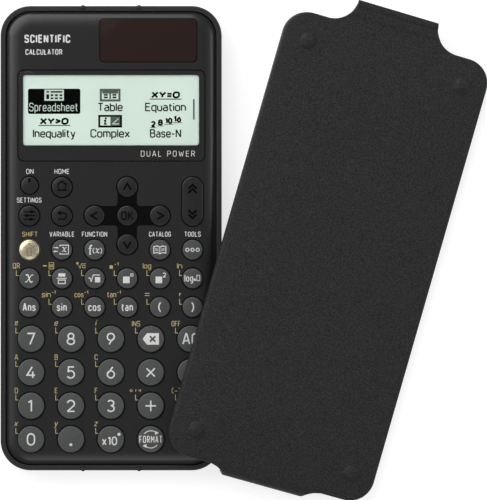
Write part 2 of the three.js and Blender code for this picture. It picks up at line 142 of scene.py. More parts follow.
def node_centre(node):
    low, high = node_box(node)
    return (low + high) / 2


def node_size(node):
    low, high = node_box(node)
    return high - low


KEY_NODES = [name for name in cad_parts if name.endswith("_key")]
ROUND_KEYS = [name for name in KEY_NODES if name != "page_key"]
KEY_TOP = node_box("one_key")[1].z


def key_radius(node):
    """Radius of a round key's cap: its node is as wide as the flange under it."""
    return round(node_size(node).y / 2, 1) - KEY_FLANGE_LIP


# ---- mesh building ------------------------------------------------------------------------------


def mesh_object(name, points, faces, smooth_angle=35):
    """An object from points in mm and faces, shaded smooth up to an angle between faces."""
    mesh = bpy.data.meshes.new(name)
    mesh.from_pydata([(x * MM, y * MM, z * MM) for x, y, z in points], [], faces)
    mesh.update()
    piece = bpy.data.objects.new(name, mesh)
    bpy.context.scene.collection.objects.link(piece)
    shade(piece, smooth_angle)
    return piece


def shade(piece, smooth_angle):
    """Outward normals, smooth faces, and sharp edges where faces meet at more than an angle."""
    work = bmesh.new()
    work.from_mesh(piece.data)
    bmesh.ops.recalc_face_normals(work, faces=work.faces)
    limit = math.radians(smooth_angle)
    for edge in work.edges:
        edge.smooth = len(edge.link_faces) == 2 and edge.calc_face_angle(0) < limit
    for face in work.faces:
        face.smooth = True
    work.to_mesh(piece.data)
    work.free()


def rounded_ring(width, length, corner, z, steps=16, centre=(0, 0)):
    """The points of a rounded rectangle at one height, anticlockwise."""
    points = []
    for sign_x, sign_y, start in ((1, 1, 0), (-1, 1, 90), (-1, -1, 180), (1, -1, 270)):
        x = centre[0] + sign_x * (width / 2 - corner)
        y = centre[1] + sign_y * (length / 2 - corner)
        points += [(px, py, z) for px, py in arc(x, y, corner, start, start + 90, steps)]
    return points


def inset_ring(size, corner, inset, z, steps=16, centre=(0, 0)):
    """A rounded ring drawn in by a distance, its corner radius too."""
    width, length = size
    return rounded_ring(
        width - 2 * inset, length - 2 * inset, max(corner - inset, 0.2), z, steps, centre
    )


def loft(rings):
    """Points and faces of a skin through rings of equal length, with a cap on each end."""
    count = len(rings[0])
    points = [point for ring in rings for point in ring]
    faces = []
    for r in range(len(rings) - 1):
        for i in range(count):
            a = r * count + i
            b = r * count + (i + 1) % count
            faces.append((a, b, b + count, a + count))
    last = (len(rings) - 1) * count
    faces.append(tuple(reversed(range(count))))
    faces.append(tuple(range(last, last + count)))
    return points, faces


def tube_loft(rings):
    """A closed skin through rings, whose last ring joins the first one again."""
    count = len(rings[0])
    points = [point for ring in rings for point in ring]
    faces = []
    for r in range(len(rings)):
        following = (r + 1) % len(rings)
        for i in range(count):
            j = (i + 1) % count
            faces.append(
                (r * count + i, r * count + j, following * count + j, following * count + i)
            )
    return points, faces


def turned(profile, sides=48, centre=(0, 0)):
    """A solid of revolution about an upright axis; the profile starts and ends on it."""
    cx, cy = centre
    points = [(cx, cy, profile[0][1])]
    for radius, z in profile[1:-1]:
        for i in range(sides):
            angle = 2 * math.pi * i / sides
            points.append((cx + radius * math.cos(angle), cy + radius * math.sin(angle), z))
    points.append((cx, cy, profile[-1][1]))
    faces = []
    rings = len(profile) - 2
    for i in range(sides):
        j = (i + 1) % sides
        faces.append((0, 1 + j, 1 + i))
        for r in range(rings - 1):
            a = 1 + r * sides
            faces.append((a + i, a + j, a + sides + j, a + sides + i))
        top = 1 + (rings - 1) * sides
        faces.append((top + i, top + j, len(points) - 1))
    return points, faces


def oval(cx, cy, rx, ry, start, end, steps=12):
    """Points along an elliptical arc, angles in degrees."""
    angles = [math.radians(start + (end - start) * i / steps) for i in range(steps + 1)]
    return [(cx + rx * math.cos(a), cy + ry * math.sin(a)) for a in angles]


def arc(cx, cy, radius, start, end, steps=6):
    return oval(cx, cy, radius, radius, start, end, steps)


def prism(outline, low, high):
    """Points and faces of an upright prism over a plane outline."""
    rings = [[(x, y, z) for x, y in outline] for z in (low, high)]
    return loft(rings)


def block(low, high):
    (x0, y0, z0), (x1, y1, z1) = low, high
    return prism([(x0, y0), (x1, y0), (x1, y1), (x0, y1)], z0, z1)


def merge(*shapes):
    """Several (points, faces) shapes as one."""
    points, faces = [], []
    for more_points, more_faces in shapes:
        start = len(points)
        points.extend(more_points)
        faces.extend(tuple(start + i for i in face) for face in more_faces)
    return points, faces


def combine(piece, shape, operation, smooth_angle=30):
    """Cuts a shape out of a piece, or joins it on, and leaves a plain mesh."""
    tool = mesh_object("tool", *shape)
    change = piece.modifiers.new("combine", "BOOLEAN")
    change.object = tool
    change.operation = operation
    change.solver = "EXACT"
    bpy.context.view_layer.update()
    result = bpy.data.meshes.new_from_object(
        piece.evaluated_get(bpy.context.evaluated_depsgraph_get())
    )
    piece.modifiers.clear()
    old = piece.data
    piece.data = result
    bpy.data.meshes.remove(old)
    bpy.data.objects.remove(tool)
    result.name = piece.name
    shade(piece, smooth_angle)
    return piece


def cut(piece, *shapes):
    """Cuts these shapes out of a piece, one after another."""
    for shape in shapes:
        combine(piece, shape, "DIFFERENCE")


def weight_normals(piece):
    """Large flat faces keep their own normal next to small rounded ones."""
    change = piece.modifiers.new("weighted", "WEIGHTED_NORMAL")
    change.keep_sharp = True
    change.weight = 60


# ---- materials ----------------------------------------------------------------------------------


def srgb(red, green, blue):
    """Linear colour of an 8-bit display colour."""
    return tuple(
        c / 255 / 12.92 if c / 255 <= 0.04045 else ((c / 255 + 0.055) / 1.055) ** 2.4
        for c in (red, green, blue)
    )


class Surface:
    """A Principled material with procedural detail in the piece's own coordinates."""

    def __init__(self, name, colour, roughness, metallic=0.0, specular=0.5):
        self.material = bpy.data.materials.new(name)
        self.material.use_nodes = True
        self.tree = self.material.node_tree
        self.shader = self.tree.nodes["Principled BSDF"]
        self.coordinates = self.tree.nodes.new("ShaderNodeTexCoord")
        self.colour = colour
        self.set("Base Color", (*colour, 1))
        self.set("Roughness", roughness)
        self.set("Metallic", metallic)
        self.set("Specular IOR Level", specular)

    def set(self, name, value):
        self.shader.inputs[name].default_value = value

    def link(self, source, target):
        self.tree.links.new(source, target)

    def noise(self, scale, detail=3.0, roughness=0.55, stretch=(1, 1, 1)):
        """Noise with `scale` cells a metre, stretched along the piece's axes."""
        mapping = self.tree.nodes.new("ShaderNodeMapping")
        mapping.inputs["Scale"].default_value = stretch
        self.link(self.coordinates.outputs["Object"], mapping.inputs["Vector"])
        texture = self.tree.nodes.new("ShaderNodeTexNoise")
        texture.inputs["Scale"].default_value = scale
        texture.inputs["Detail"].default_value = detail
        texture.inputs["Roughness"].default_value = roughness
        self.link(mapping.outputs["Vector"], texture.inputs["Vector"])
        return texture.outputs["Fac"]

    def cells(self, scale, feature):
        texture = self.tree.nodes.new("ShaderNodeTexVoronoi")
        texture.feature = feature
        texture.inputs["Scale"].default_value = scale
        self.link(self.coordinates.outputs["Object"], texture.inputs["Vector"])
        return texture.outputs["Distance"]

    def spread(self, value, low, high, to_low, to_high):
        """A value mapped from one range to another."""
        node = self.tree.nodes.new("ShaderNodeMapRange")
        node.inputs["From Min"].default_value = low
        node.inputs["From Max"].default_value = high
        node.inputs["To Min"].default_value = to_low
        node.inputs["To Max"].default_value = to_high
        self.link(value, node.inputs["Value"])
        return node.outputs["Result"]

    def mottle(self, scale, low, high, places=(0.3, 0.7), contrast=0.55):
        """Base colour that drifts between two brightnesses, reached at these noise values."""
        ramp = self.tree.nodes.new("ShaderNodeValToRGB")
        for end, share, place in zip(ramp.color_ramp.elements, (low, high), places):
            end.position = place
            end.color = (*(c * share for c in self.colour), 1)
        self.link(self.noise(scale, 3.0, contrast), ramp.inputs["Fac"])
        self.link(ramp.outputs["Color"], self.shader.inputs["Base Color"])

    def vary_roughness(self, scale, low, high):
        value = self.spread(self.noise(scale), 0.3, 0.7, low, high)
        self.link(value, self.shader.inputs["Roughness"])

    def bump(self, height, distance, strength=1.0):
        node = self.tree.nodes.new("ShaderNodeBump")
        node.inputs["Strength"].default_value = strength
        node.inputs["Distance"].default_value = distance
        self.link(height, node.inputs["Height"])
        previous = self.shader.inputs["Normal"]
        if previous.is_linked:
            self.link(previous.links[0].from_socket, node.inputs["Normal"])
        self.link(node.outputs["Normal"], previous)


def moulded(name, colour, roughness, grain=0.00001, specular=0.5):
    """Spark-eroded moulded plastic: a fine even grain and slightly uneven gloss."""
    surface = Surface(name, colour, roughness, specular=specular)
    surface.mottle(900, 0.94, 1.06)
    surface.vary_roughness(1400, roughness - 0.03, roughness + 0.04)
    surface.bump(surface.noise(5200, 2.0, 0.6), grain, 0.6)
    return surface.material


def glossy(name, colour, roughness, specular):
    """Smooth dark lacquer or ink: no grain, only a slightly uneven gloss."""
    surface = Surface(name, colour, roughness, specular=specular)
    surface.mottle(700, 0.96, 1.04)
    surface.vary_roughness(1200, roughness * 0.92, roughness * 1.1)
    surface.bump(surface.noise(1800, 2.0, 0.5), 0.0000015, 0.3)
    return surface.material


def pebbled(name, colour, roughness):
    """The cover's leather-like grain: irregular pebbles with finer pits between them."""
    surface = Surface(name, colour, roughness, specular=0.14)
    surface.mottle(2100, 0.5, 1.5, (0.4, 0.62), 0.75)
    surface.vary_roughness(1700, roughness - 0.05, roughness + 0.05)
    surface.bump(surface.cells(1900, "SMOOTH_F1"), 0.00014, 0.9)
    surface.bump(surface.noise(2600, 3.0, 0.65), 0.00008, 0.6)
    return surface.material


def metallic_paint(name, colour, roughness):
    """Paint with metal flakes, as on the gold key."""
    surface = Surface(name, colour, roughness, metallic=0.85)
    surface.mottle(900, 0.93, 1.07)
    surface.vary_roughness(1500, roughness - 0.05, roughness + 0.08)
    surface.bump(surface.noise(4800, 2.0), 0.000006, 0.5)
    return surface.material


def ink(name, colour, roughness=0.5, wear=0.08):
    """Printed ink, slightly uneven in density."""
    surface = Surface(name, colour, roughness)
    surface.mottle(1400, 1 - wear, 1.0)
    surface.vary_roughness(900, roughness - 0.08, roughness + 0.1)
    return surface.material


def brushed(name, colour, roughness):
    """Bare metal with fine streaks across the calculator."""
    surface = Surface(name, colour, roughness, metallic=1.0)
    surface.mottle(300, 0.85, 1.1)
    streaks = surface.noise(2600, 2.0, 0.6, (1, 14, 1))
    surface.link(
        surface.spread(streaks, 0.3, 0.7, roughness - 0.1, roughness + 0.12),
        surface.shader.inputs["Roughness"],
    )
    surface.bump(streaks, 0.00001, 0.4)
    return surface.material


def lcd_ground(name, colour):
    """The display's pale, finely grained reflector."""
    surface = Surface(name, colour, 0.55)
    surface.mottle(60, 0.97, 1.03)
    surface.vary_roughness(500, 0.5, 0.62)
    surface.bump(surface.noise(6000, 2.0), 0.000004, 0.4)
    return surface.material


def solar_cell(name, colour):
    """A dull dark cell with fine streaks along it."""
    surface = Surface(name, colour, 0.32, specular=0.06)
    surface.mottle(900, 0.93, 1.07)
    surface.vary_roughness(700, 0.26, 0.4)
    surface.bump(surface.noise(3800, 2.0, 0.6, (4, 0.4, 1)), 0.000004, 0.4)
    return surface.material


def clear_pane(name):
    """A thin clear window: light goes straight through, and a slanting view mirrors a little."""
    material = bpy.data.materials.new(name)
    material.use_nodes = True
    tree = material.node_tree
    tree.nodes.remove(tree.nodes["Principled BSDF"])

    def node(kind, **inputs):
        made = tree.nodes.new("ShaderNode" + kind)
        for key, value in inputs.items():
            made.inputs[key.replace("_", " ")].default_value = value
        return made

    through = node("BsdfTransparent", Color=(0.985, 0.99, 0.985, 1))
    mirror = node("BsdfGlossy")
    smudge = node("TexNoise", Scale=90)
    gloss = node("MapRange", To_Min=0.04, To_Max=0.07)
    slant = node("LayerWeight")
    steep = node("Math")
    steep.operation = "POWER"
    steep.inputs[1].default_value = 4.0
    share = node("MapRange", To_Min=0.003, To_Max=0.7)
    mix = node("MixShader")
    for source, target in (
        (node("TexCoord").outputs["Object"], smudge.inputs["Vector"]),
        (smudge.outputs["Fac"], gloss.inputs["Value"]),
        (gloss.outputs["Result"], mirror.inputs["Roughness"]),
        (slant.outputs["Facing"], steep.inputs[0]),
        (steep.outputs["Value"], share.inputs["Value"]),
        (share.outputs["Result"], mix.inputs["Fac"]),
        (through.outputs["BSDF"], mix.inputs[1]),
        (mirror.outputs["BSDF"], mix.inputs[2]),
        (mix.outputs["Shader"], tree.nodes["Material Output"].inputs["Surface"]),
    ):
        tree.links.new(source, target)
    return material


def board_mask(name, colour):
    """Solder mask with a net of faint raised lines."""
    surface = Surface(name, colour, 0.4)
    surface.mottle(240, 0.8, 1.25)
    surface.vary_roughness(600, 0.32, 0.5)
    surface.bump(surface.cells(420, "DISTANCE_TO_EDGE"), 0.00003, 0.5)
    return surface.material


def make_materials():
    """Every material by a short name: colour, roughness, then grain or gloss."""
    return {
        "case": moulded("case_black", srgb(38, 38, 39), 0.4, 0.00001, 0.38),
        "panel": moulded("panel_black", srgb(24, 24, 25), 0.34, 0.000006, 0.5),
        "cross": glossy("cross_gloss_black", srgb(5, 5, 6), 0.14, 0.2),
        "key_grey": moulded("key_grey", srgb(71, 73, 72), 0.36, 0.000005, 0.32),
        "key_number": moulded("key_number", srgb(75, 77, 76), 0.38, 0.000005, 0.3),
        "key_black": moulded("key_black", srgb(28, 28, 29), 0.34, 0.000005, 0.4),
        "key_gold": metallic_paint("key_gold", srgb(216, 206, 176), 0.25),
        "cover": pebbled("cover_grain", srgb(44, 44, 45), 0.55),
        "surround": glossy("display_surround", srgb(34, 34, 35), 0.32, 0.32),
        "white": ink("ink_white", srgb(214, 214, 212)),
        "gold": ink("ink_gold", srgb(182, 164, 112), 0.42),
        "gold_dark": ink("ink_dark_gold", srgb(112, 96, 60), 0.45),
        "black": glossy("ink_black", srgb(4, 4, 4), 0.22, 0.12),
        "lcd": lcd_ground("lcd_reflector", srgb(212, 228, 218)),
        "lcd_ink": glossy("lcd_dot", srgb(3, 4, 3), 0.5, 0.02),
        "lcd_grey": ink("lcd_half_dot", srgb(74, 84, 78), 0.5, 0.15),
        "lcd_light": ink("lcd_clear_dot", srgb(200, 215, 205), 0.5, 0.1),
        "pane": clear_pane("clear_window"),
        "solar": solar_cell("solar_cell", srgb(43, 31, 29)),
        "board": board_mask("board_green", srgb(20, 84, 48)),
        "rubber": moulded("rubber_grey", srgb(132, 134, 134), 0.75, 0.00002),
        "steel": brushed("steel", srgb(190, 192, 196), 0.3),
    }


MATERIALS = make_materials()


def finish_piece(piece, body, slot_name, *replaced):
    """Says which body a piece rides on and the CAD nodes that it stands for; slot_name is not used."""
    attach(piece, body)
    if replaced:
        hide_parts(*replaced)
    return piece


def wear_material(piece, *names):
    """Gives a piece these materials, in slot order."""
    piece.data.materials.clear()
    for name in names:
        piece.data.materials.append(MATERIALS[name])


# ---- printing -----------------------------------------------------------------------------------


class Print:
    """Flat ink shapes in mm, laid on a surface as thin solids of one material each."""

    def __init__(self):
        self.shapes = []

    def polygon(self, outline):
        self.shapes.append((list(outline), [tuple(range(len(outline)))]))

    def box(self, x0, y0, x1, y1):
        self.polygon([(x0, y0), (x1, y0), (x1, y1), (x0, y1)])

    def disc(self, x, y, radius, sides=20):
        self.polygon(arc(x, y, radius, 0, 360 - 360 / sides, sides - 1))

    def stroke(self, points, width, closed=False):
        """A line of even width with mitred corners; a hairpin corner is left as two butt ends."""
        for i in range(1, len(points) - 1):
            into = (Vector(points[i]) - Vector(points[i - 1])).normalized()
            away = (Vector(points[i + 1]) - Vector(points[i])).normalized()
            if into.dot(away) < HAIRPIN and not closed:
                self.stroke(points[:i + 1], width)
                self.stroke(points[i:], width)
                return
        count = len(points)
        left, right = [], []
        for i, (x, y) in enumerate(points):
            before = Vector(points[i - 1]) if closed or i > 0 else None
            after = Vector(points[(i + 1) % count]) if closed or i < count - 1 else None
            here = Vector((x, y))
            into = (here - before).normalized() if before else (after - here).normalized()
            away = (after - here).normalized() if after else into
            normal = Vector((-into.y - away.y, into.x + away.x))
            normal = normal.normalized() if normal.length > 1e-6 else Vector((-into.y, into.x))
            reach = width / 2 / max(normal.dot(Vector((-into.y, into.x))), 0.35)
            left.append(here + normal * reach)
            right.append(here - normal * reach)
        outline = [tuple(p) for p in left + right]
        last = count if closed else count - 1
        faces = [
            (i, count + i, count + (i + 1) % count, (i + 1) % count) for i in range(last)
        ]
        self.shapes.append((outline, faces))

    def ring(self, x, y, radius, width, sides=28):
        self.stroke(arc(x, y, radius, 0, 360 - 360 / sides, sides - 1), width, True)

    def outline_box(self, x0, y0, x1, y1, width):
        self.stroke([(x0, y0), (x1, y0), (x1, y1), (x0, y1)], width, True)

    def lettering(self, words, x, y, height, width, pen, lean=0.0, space=0.8):
        """Words centred on a point, drawn in this alphabet's pen strokes and fitted to a width.

        The clear gap between two letters is `space` pen widths.
        """
        shapes = [glyph(letter) for letter in words]
        pitch = pen * (1 + space)
        drawn = sum(span for _, span in shapes)
        unit = (height - pen) / CAPITAL_UNITS
        across = (width - pen - pitch * (len(words) - 1)) / drawn if drawn else unit
        at = x - (width - pen) / 2 if drawn else x
        for strokes, span in shapes:
            for points, closed in strokes:
                placed = [
                    (at + px * across + (py - CAPITAL_UNITS / 2) * unit * lean,
                     y + (py - CAPITAL_UNITS / 2) * unit)
                    for px, py in points
                ]
                self.stroke(placed, pen, closed)
            at += span * across + pitch

    def move(self, x, y):
        for points, _ in self.shapes:
            points[:] = [(x + px, y + py) for px, py in points]

    def solid(self, height_at, cell=0.7, raised=PRINT_THICK):
        """Points and faces of the ink, cut into cells so that it follows a curved surface."""
        work = bmesh.new()
        layer = work.verts.layers.float.new("layer")
        for i, (points, faces) in enumerate(self.shapes):
            corners = [work.verts.new((px, py, 0)) for px, py in points]
            for corner in corners:
                corner[layer] = i % PRINT_LAYERS
            for face in faces:
                work.faces.new([corners[j] for j in face])
        cut_in_cells(work, cell)
        for face in work.faces:
            if face.normal.z < 0:
                face.normal_flip()
        top = list(work.faces)
        grown = bmesh.ops.extrude_face_region(work, geom=top)
        lifted = {v for v in grown["geom"] if isinstance(v, bmesh.types.BMVert)}
        for vert in work.verts:
            base = height_at(vert.co.x, vert.co.y)
            vert.co.z = base - PRINT_THICK
            if vert in lifted:
                # strokes that cross lie in separate layers, since faces in one plane shade each other
                vert.co.z = base + raised + LAYER_THICK * vert[layer]
        bmesh.ops.recalc_face_normals(work, faces=work.faces)
        work.verts.index_update()
        points = [tuple(v.co) for v in work.verts]
        faces = [tuple(v.index for v in face.verts) for face in work.faces]
        work.free()
        return points, faces


def cut_in_cells(work, cell):
    """Cuts a flat mesh along a square grid."""
    for axis in (0, 1):
        values = [v.co[axis] for v in work.verts]
        normal = (1, 0, 0) if axis == 0 else (0, 1, 0)
        at = math.floor(min(values) / cell) * cell + cell
        while at < max(values):
            place = [0, 0, 0]
            place[axis] = at
            everything = list(work.verts) + list(work.edges) + list(work.faces)
            bmesh.ops.bisect_plane(work, geom=everything, plane_co=place, plane_no=normal)
            at += cell


# The pen alphabet: capitals stand 12 units high and small letters 8.4. Each stroke is a list of
# corners; r marks a rounded corner and z a closed stroke, and / parts one stroke from the next.
CAPITAL_UNITS = 12
ROUNDING = 3.2
PEN_ALPHABET = {
    "A": "0,0 3.6,12 4.4,12 8,0 / 1.2,3.8 6.8,3.8",
    "B": "0,0 0,12 7,12r 7,6.5r 0,6.5 / 3.5,6.5 7.6,6.5r 7.6,0r 0,0",
    "C": "7.4,8.8 7.4,12r 0,12r 0,0r 7.4,0r 7.4,3.2",
    "D": "z 0,0 0,12 7.6,12r 7.6,0r",
    "E": "6.6,12 0,12 0,0 6.6,0 / 0,6.3 5.8,6.3",
    "F": "6.6,12 0,12 0,0 / 0,6 5.6,6",
    "G": "7.4,8.8 7.4,12r 0,12r 0,0r 7.4,0r 7.4,5.6 4.2,5.6",
    "H": "0,0 0,12 / 7.4,0 7.4,12 / 0,6.2 7.4,6.2",
    "I": "0,0 0,12",
    "K": "0,0 0,12 / 7.2,12 0,4.4 / 2.6,7.1 7.8,0",
    "L": "0,12 0,0 6,0",
    "M": "0,0 0,12 4.8,4.4 9.6,12 9.6,0",
    "N": "0,0 0,12 7.6,0 7.6,12",
    "O": "z 0,0r 7.8,0r 7.8,12r 0,12r",
    "P": "0,0 0,12 7.4,12r 7.4,5.4r 0,5.4",
    "Q": "z 0,0r 7.8,0r 7.8,12r 0,12r / 4.8,3 8.6,-1.2",
    "R": "0,0 0,12 7.4,12r 7.4,5.6r 0,5.6 / 3.8,5.6 7.8,0",
    "S": "7.2,9.6 7.2,12r 0,12r 0,6.2r 7.4,6.2r 7.4,0r 0,0r 0,2.4",
    "T": "0,12 7.4,12 / 3.7,12 3.7,0",
    "U": "0,12 0,0r 7.6,0r 7.6,12",
    "V": "0,12 3.5,0 4.3,0 7.8,12",
    "W": "0,12 2.8,0 5.6,9 8.4,0 11.2,12",
    "X": "0,0 7.8,12 / 0,12 7.8,0",
    "Y": "0,12 4,5.4 8,12 / 4,5.4 4,0",
    "a": "0.5,8.4 6,8.4r 6,0 / 6,5 0,5r 0,0r 6,0",
    "b": "z 0,0 6.2,0r 6.2,8.4r 0,8.4 / 0,12 0,0",
    "c": "5.8,6.4 5.8,8.4r 0,8.4r 0,0r 5.8,0r 5.8,2",
    "d": "z 6.2,0 0,0r 0,8.4r 6.2,8.4 / 6.2,12 6.2,0",
    "e": "0,4.3 6.2,4.3 6.2,8.4r 0,8.4r 0,0r 6,0r 6,1.6",
    "f": "4,12 1.4,12r 1.4,0 / 0,8 3.8,8",
    "g": "z 6.2,0.2 0,0.2r 0,8.4r 6.2,8.4 / 6.2,8.4 6.2,-3.6r 0.4,-3.6",
    "h": "0,12 0,0 / 0,8.4 6,8.4r 6,0",
    "i": "0,0 0,8.4 / 0,10.8 0,12.4",
    "l": "0,12 0,0",
    "m": "0,0 0,8.4 9.6,8.4r 9.6,0 / 4.8,8.4 4.8,0",
    "n": "0,0 0,8.4 6,8.4r 6,0",
    "o": "z 0,0r 6.4,0r 6.4,8.4r 0,8.4r",
    "p": "z 0,0 6.2,0r 6.2,8.4r 0,8.4 / 0,0 0,-3.6",
    "q": "z 6.2,0 0,0r 0,8.4r 6.2,8.4 / 6.2,0 6.2,-3.6",
    "r": "0,0 0,8.4 / 0,5.8 0,8.4r 3.8,8.4",
    "s": "5.4,6.8 5.4,8.4r 0,8.4r 0,4.4r 5.6,4.4r 5.6,0r 0,0r 0,1.6",
    "t": "1.4,11.2 1.4,0r 4.2,0 / 0,8.4 4.2,8.4",
    "u": "0,8.4 0,0r 6,0 / 6,8.4 6,0",
    "x": "0,0 6,8.4 / 0,8.4 6,0",
    "y": "0,8.4 3.1,0.4 / 6.2,8.4 2.4,-3.6r 0.2,-3.6",
    "z": "0,8.4 5.8,8.4 0,0 5.8,0",
    "π": "0,8.4 7.6,8.4 / 2.2,8.4 1.8,0 / 5.6,8.4 5.8,0",
    "-": "0,5 4.6,5",
    "=": "0,2.9 6,2.9 / 0,8.5 6,8.5",
    ">": "0,10 6.6,6 0,2",
    "(": "2.6,13.2 0,10.4r 0,1.6r 2.6,-1.2",
    ")": "0,13.2 2.6,10.4r 2.6,1.6r 0,-1.2",
    " ": "",
}


def rounded_corner(before, corner, after, reach_in, reach_out):
    """Points of a smooth turn that replaces a corner."""
    into, away = (before - corner), (after - corner)
    start = corner + into.normalized() * min(ROUNDING, into.length * reach_in)
    end = corner + away.normalized() * min(ROUNDING, away.length * reach_out)
    return [
        start * (1 - t) ** 2 + corner * 2 * t * (1 - t) + end * t ** 2
        for t in (0, 0.15, 0.3, 0.45, 0.55, 0.7, 0.85, 1)
    ]


def pen_stroke(words):
    """One stroke of the pen alphabet as points and whether it is closed."""
    marks = words.split()
    closed = marks[0] == "z"
    if closed:
        marks = marks[1:]
    corners = [Vector([float(v) for v in mark.rstrip("r").split(",")]) for mark in marks]
    count = len(corners)
    points = []
    for i, mark in enumerate(marks):
        if not mark.endswith("r"):
            points.append(corners[i])
            continue
        # an end segment belongs to one corner alone, so its rounding may use nearly all of it
        lone_in = not closed and i == 1
        lone_out = not closed and i == count - 2
        points += rounded_corner(
            corners[i - 1], corners[i], corners[(i + 1) % count],
            0.95 if lone_in else 0.5, 0.95 if lone_out else 0.5,
        )
    points = [p for i, p in enumerate(points) if i == 0 or (p - points[i - 1]).length > 0.05]
    return [tuple(p) for p in points], closed


DIGIT_PEN = 0.5
HALF_W = 1.22                  # half width and height of a large digit's centre line
HALF_H = 1.92


def digit_strokes(digit):
    """The pen strokes of a large digit, round and even like engineering lettering."""
    w, h = HALF_W, HALF_H
    stem = [(0.62, h), (-0.1, 0.75), (-w + 0.08, -0.35)]
    bowl = oval(0, -h + 1.22, w, 1.22, 0, 345, 26)
    if digit == "0":
        upper = oval(0, h - w - 0.1, w, w + 0.1, 0, 180)
        lower = oval(0, -h + w + 0.1, w, w + 0.1, 180, 360)
        return [(upper + lower, True)]
    if digit == "1":
        return [([(-0.85, h - 0.75), (0.15, h), (0.15, -h)], False)]
    if digit == "2":
        return [(oval(0, h - 1.2, w, 1.2, 165, -28, 14) + [(-w, -h), (w + 0.05, -h)], False)]
    if digit == "3":
        upper = oval(-0.05, h - 0.95, 1.08, 0.95, 150, -82, 12)
        lower = oval(-0.05, -h + 1.02, 1.22, 1.02, 90, -152, 14)
        return [(upper, False), (lower, False)]
    if digit == "4":
        corner = [(0.42, h), (-1.38, -0.95), (1.42, -0.95)]
        return [(corner, False), ([(0.62, 0.3), (0.62, -h)], False)]
    if digit == "5":
        hook = oval(-0.08, -h + 1.22, 1.28, 1.26, 118, -150, 16)
        return [([(1.08, h), (-0.82, h), (-0.98, 0.12)], False), ([(-0.98, 0.12)] + hook, False)]
    if digit == "6":
        return [(bowl, True), (stem, False)]
    if digit == "7":
        return [([(-w - 0.05, h), (w, h), (-0.35, -h)], False)]
    if digit == "8":
        upper = oval(0, h - 0.93, 1.0, 0.93, 0, 345, 22)
        lower = oval(0, -h + 1.04, w, 1.0, 0, 345, 24)
        return [(upper, True), (lower, True)]
    return [([(-x, -y) for x, y in bowl], True), ([(-x, -y) for x, y in stem], False)]


def glyph(letter):
    """The strokes of one letter or digit, with its left edge at zero, and its width."""
    if letter.isdigit():
        scale = CAPITAL_UNITS / (2 * HALF_H)
        strokes = [
            ([(x * scale, y * scale + CAPITAL_UNITS / 2) for x, y in points], closed)
            for points, closed in digit_strokes(letter)
        ]
    else:
        strokes = [pen_stroke(part) for part in PEN_ALPHABET[letter].split("/") if part.strip()]
    across = [x for points, _ in strokes for x, _ in points]
    if not across:
        return [], 3.0
    low = min(across)
    strokes = [([(x - low, y) for x, y in points], closed) for points, closed in strokes]
    return strokes, max(across) - low


def add_shape(piece, shape, material_index):
    """Adds points and faces (mm) to a piece with another of its materials."""
    points, faces = shape
    work = bmesh.new()
    work.from_mesh(piece.data)
    corners = [work.verts.new((x * MM, y * MM, z * MM)) for x, y, z in points]
    for face in faces:
        made = work.faces.new([corners[i] for i in face])
        made.material_index = material_index
        made.smooth = False
    work.to_mesh(piece.data)
    work.free()


# ---- the calculator's body ------------------------------------------------------------------------


def distance_inside(x, y, size, corner):
    """How far a point stands inside a rounded rectangle about the origin."""
    qx = abs(x) - (size[0] / 2 - corner)
    qy = abs(y) - (size[1] / 2 - corner)
    outside = math.hypot(max(qx, 0), max(qy, 0))
    return corner - outside - min(max(qx, qy), 0)


def panel_drop(inside):
    """How far the panel's face has dropped at a distance inside its edge."""
    share = min(max(inside / SHOULDER, 0), 1)
    return SHOULDER_DROP * (1 - share) ** 2.2


def panel_height(x, y):
    """Height of the panel's face at a point."""
    return PANEL_TOP - panel_drop(distance_inside(x, y, PANEL_SIZE, PANEL_CORNER))


def front_panel():
    """The raised panel: soft shoulders, a side wall down to the groove, and a hollow underside."""

    def ring(inset, z):
        return inset_ring(PANEL_SIZE, PANEL_CORNER, inset, z, 20)

    edge = PANEL_TOP - SHOULDER_DROP
    rings = [
        ring(PANEL_WALL, PANEL_UNDER),
        ring(PANEL_WALL, SKIRT_BOTTOM),
        ring(-FLANGE_OUT, SKIRT_BOTTOM),
        ring(-FLANGE_OUT, GROOVE_FLOOR),
        ring(0.0, GROOVE_FLOOR),
        ring(0.0, edge - SHOULDER_FOOT),
    ]
    rings += [ring(inset, edge - SHOULDER_FOOT + rise)
              for inset, rise in ((0.03, 0.12), (0.12, 0.22), (0.24, 0.3))]
    steps = 12
    for i in range(1, steps + 1):
        inset = SHOULDER_FOOT + (SHOULDER - SHOULDER_FOOT) * i / steps
        rings.append(ring(inset, PANEL_TOP - panel_drop(inset)))
    piece = mesh_object("front_panel", *loft(rings), smooth_angle=40)

    cut(piece, cross_recess())
    cut(piece, *panel_openings())
    cut(piece, merge(*[key_hole(node) for node in ROUND_KEYS], page_hole()))
    wear_material(piece, "panel", "cross")
    paint_cross(piece)
    weight_normals(piece)
    finish_piece(piece, "calculator", "panel_black", "front_case")


def cross_outline():
    """A plus sign round the OK key: its arms end under the arrow keys, its inner corners are round."""
    middle = node_centre("ok_key")
    reach_x = node_centre("right_key").x - middle.x
    reach_y = node_centre("up_key").y - middle.y
    half = CROSS_ARM / 2
    turn = half + CROSS_FILLET
    points = []
    for quarter in range(4):
        side, up = (reach_x, reach_y) if quarter % 2 == 0 else (reach_y, reach_x)
        for px, py in [(side, half)] + arc(turn, turn, CROSS_FILLET, 270, 180) + [(half, up)]:
            for _ in range(quarter):
                px, py = -py, px
            points.append((middle.x + px, middle.y + py))
    return points


def cross_recess():
    """The cutter for the shallow cross that the arrow keys stand in."""
    return prism(cross_outline(), PANEL_TOP - CROSS_DEPTH, PANEL_TOP + 1)


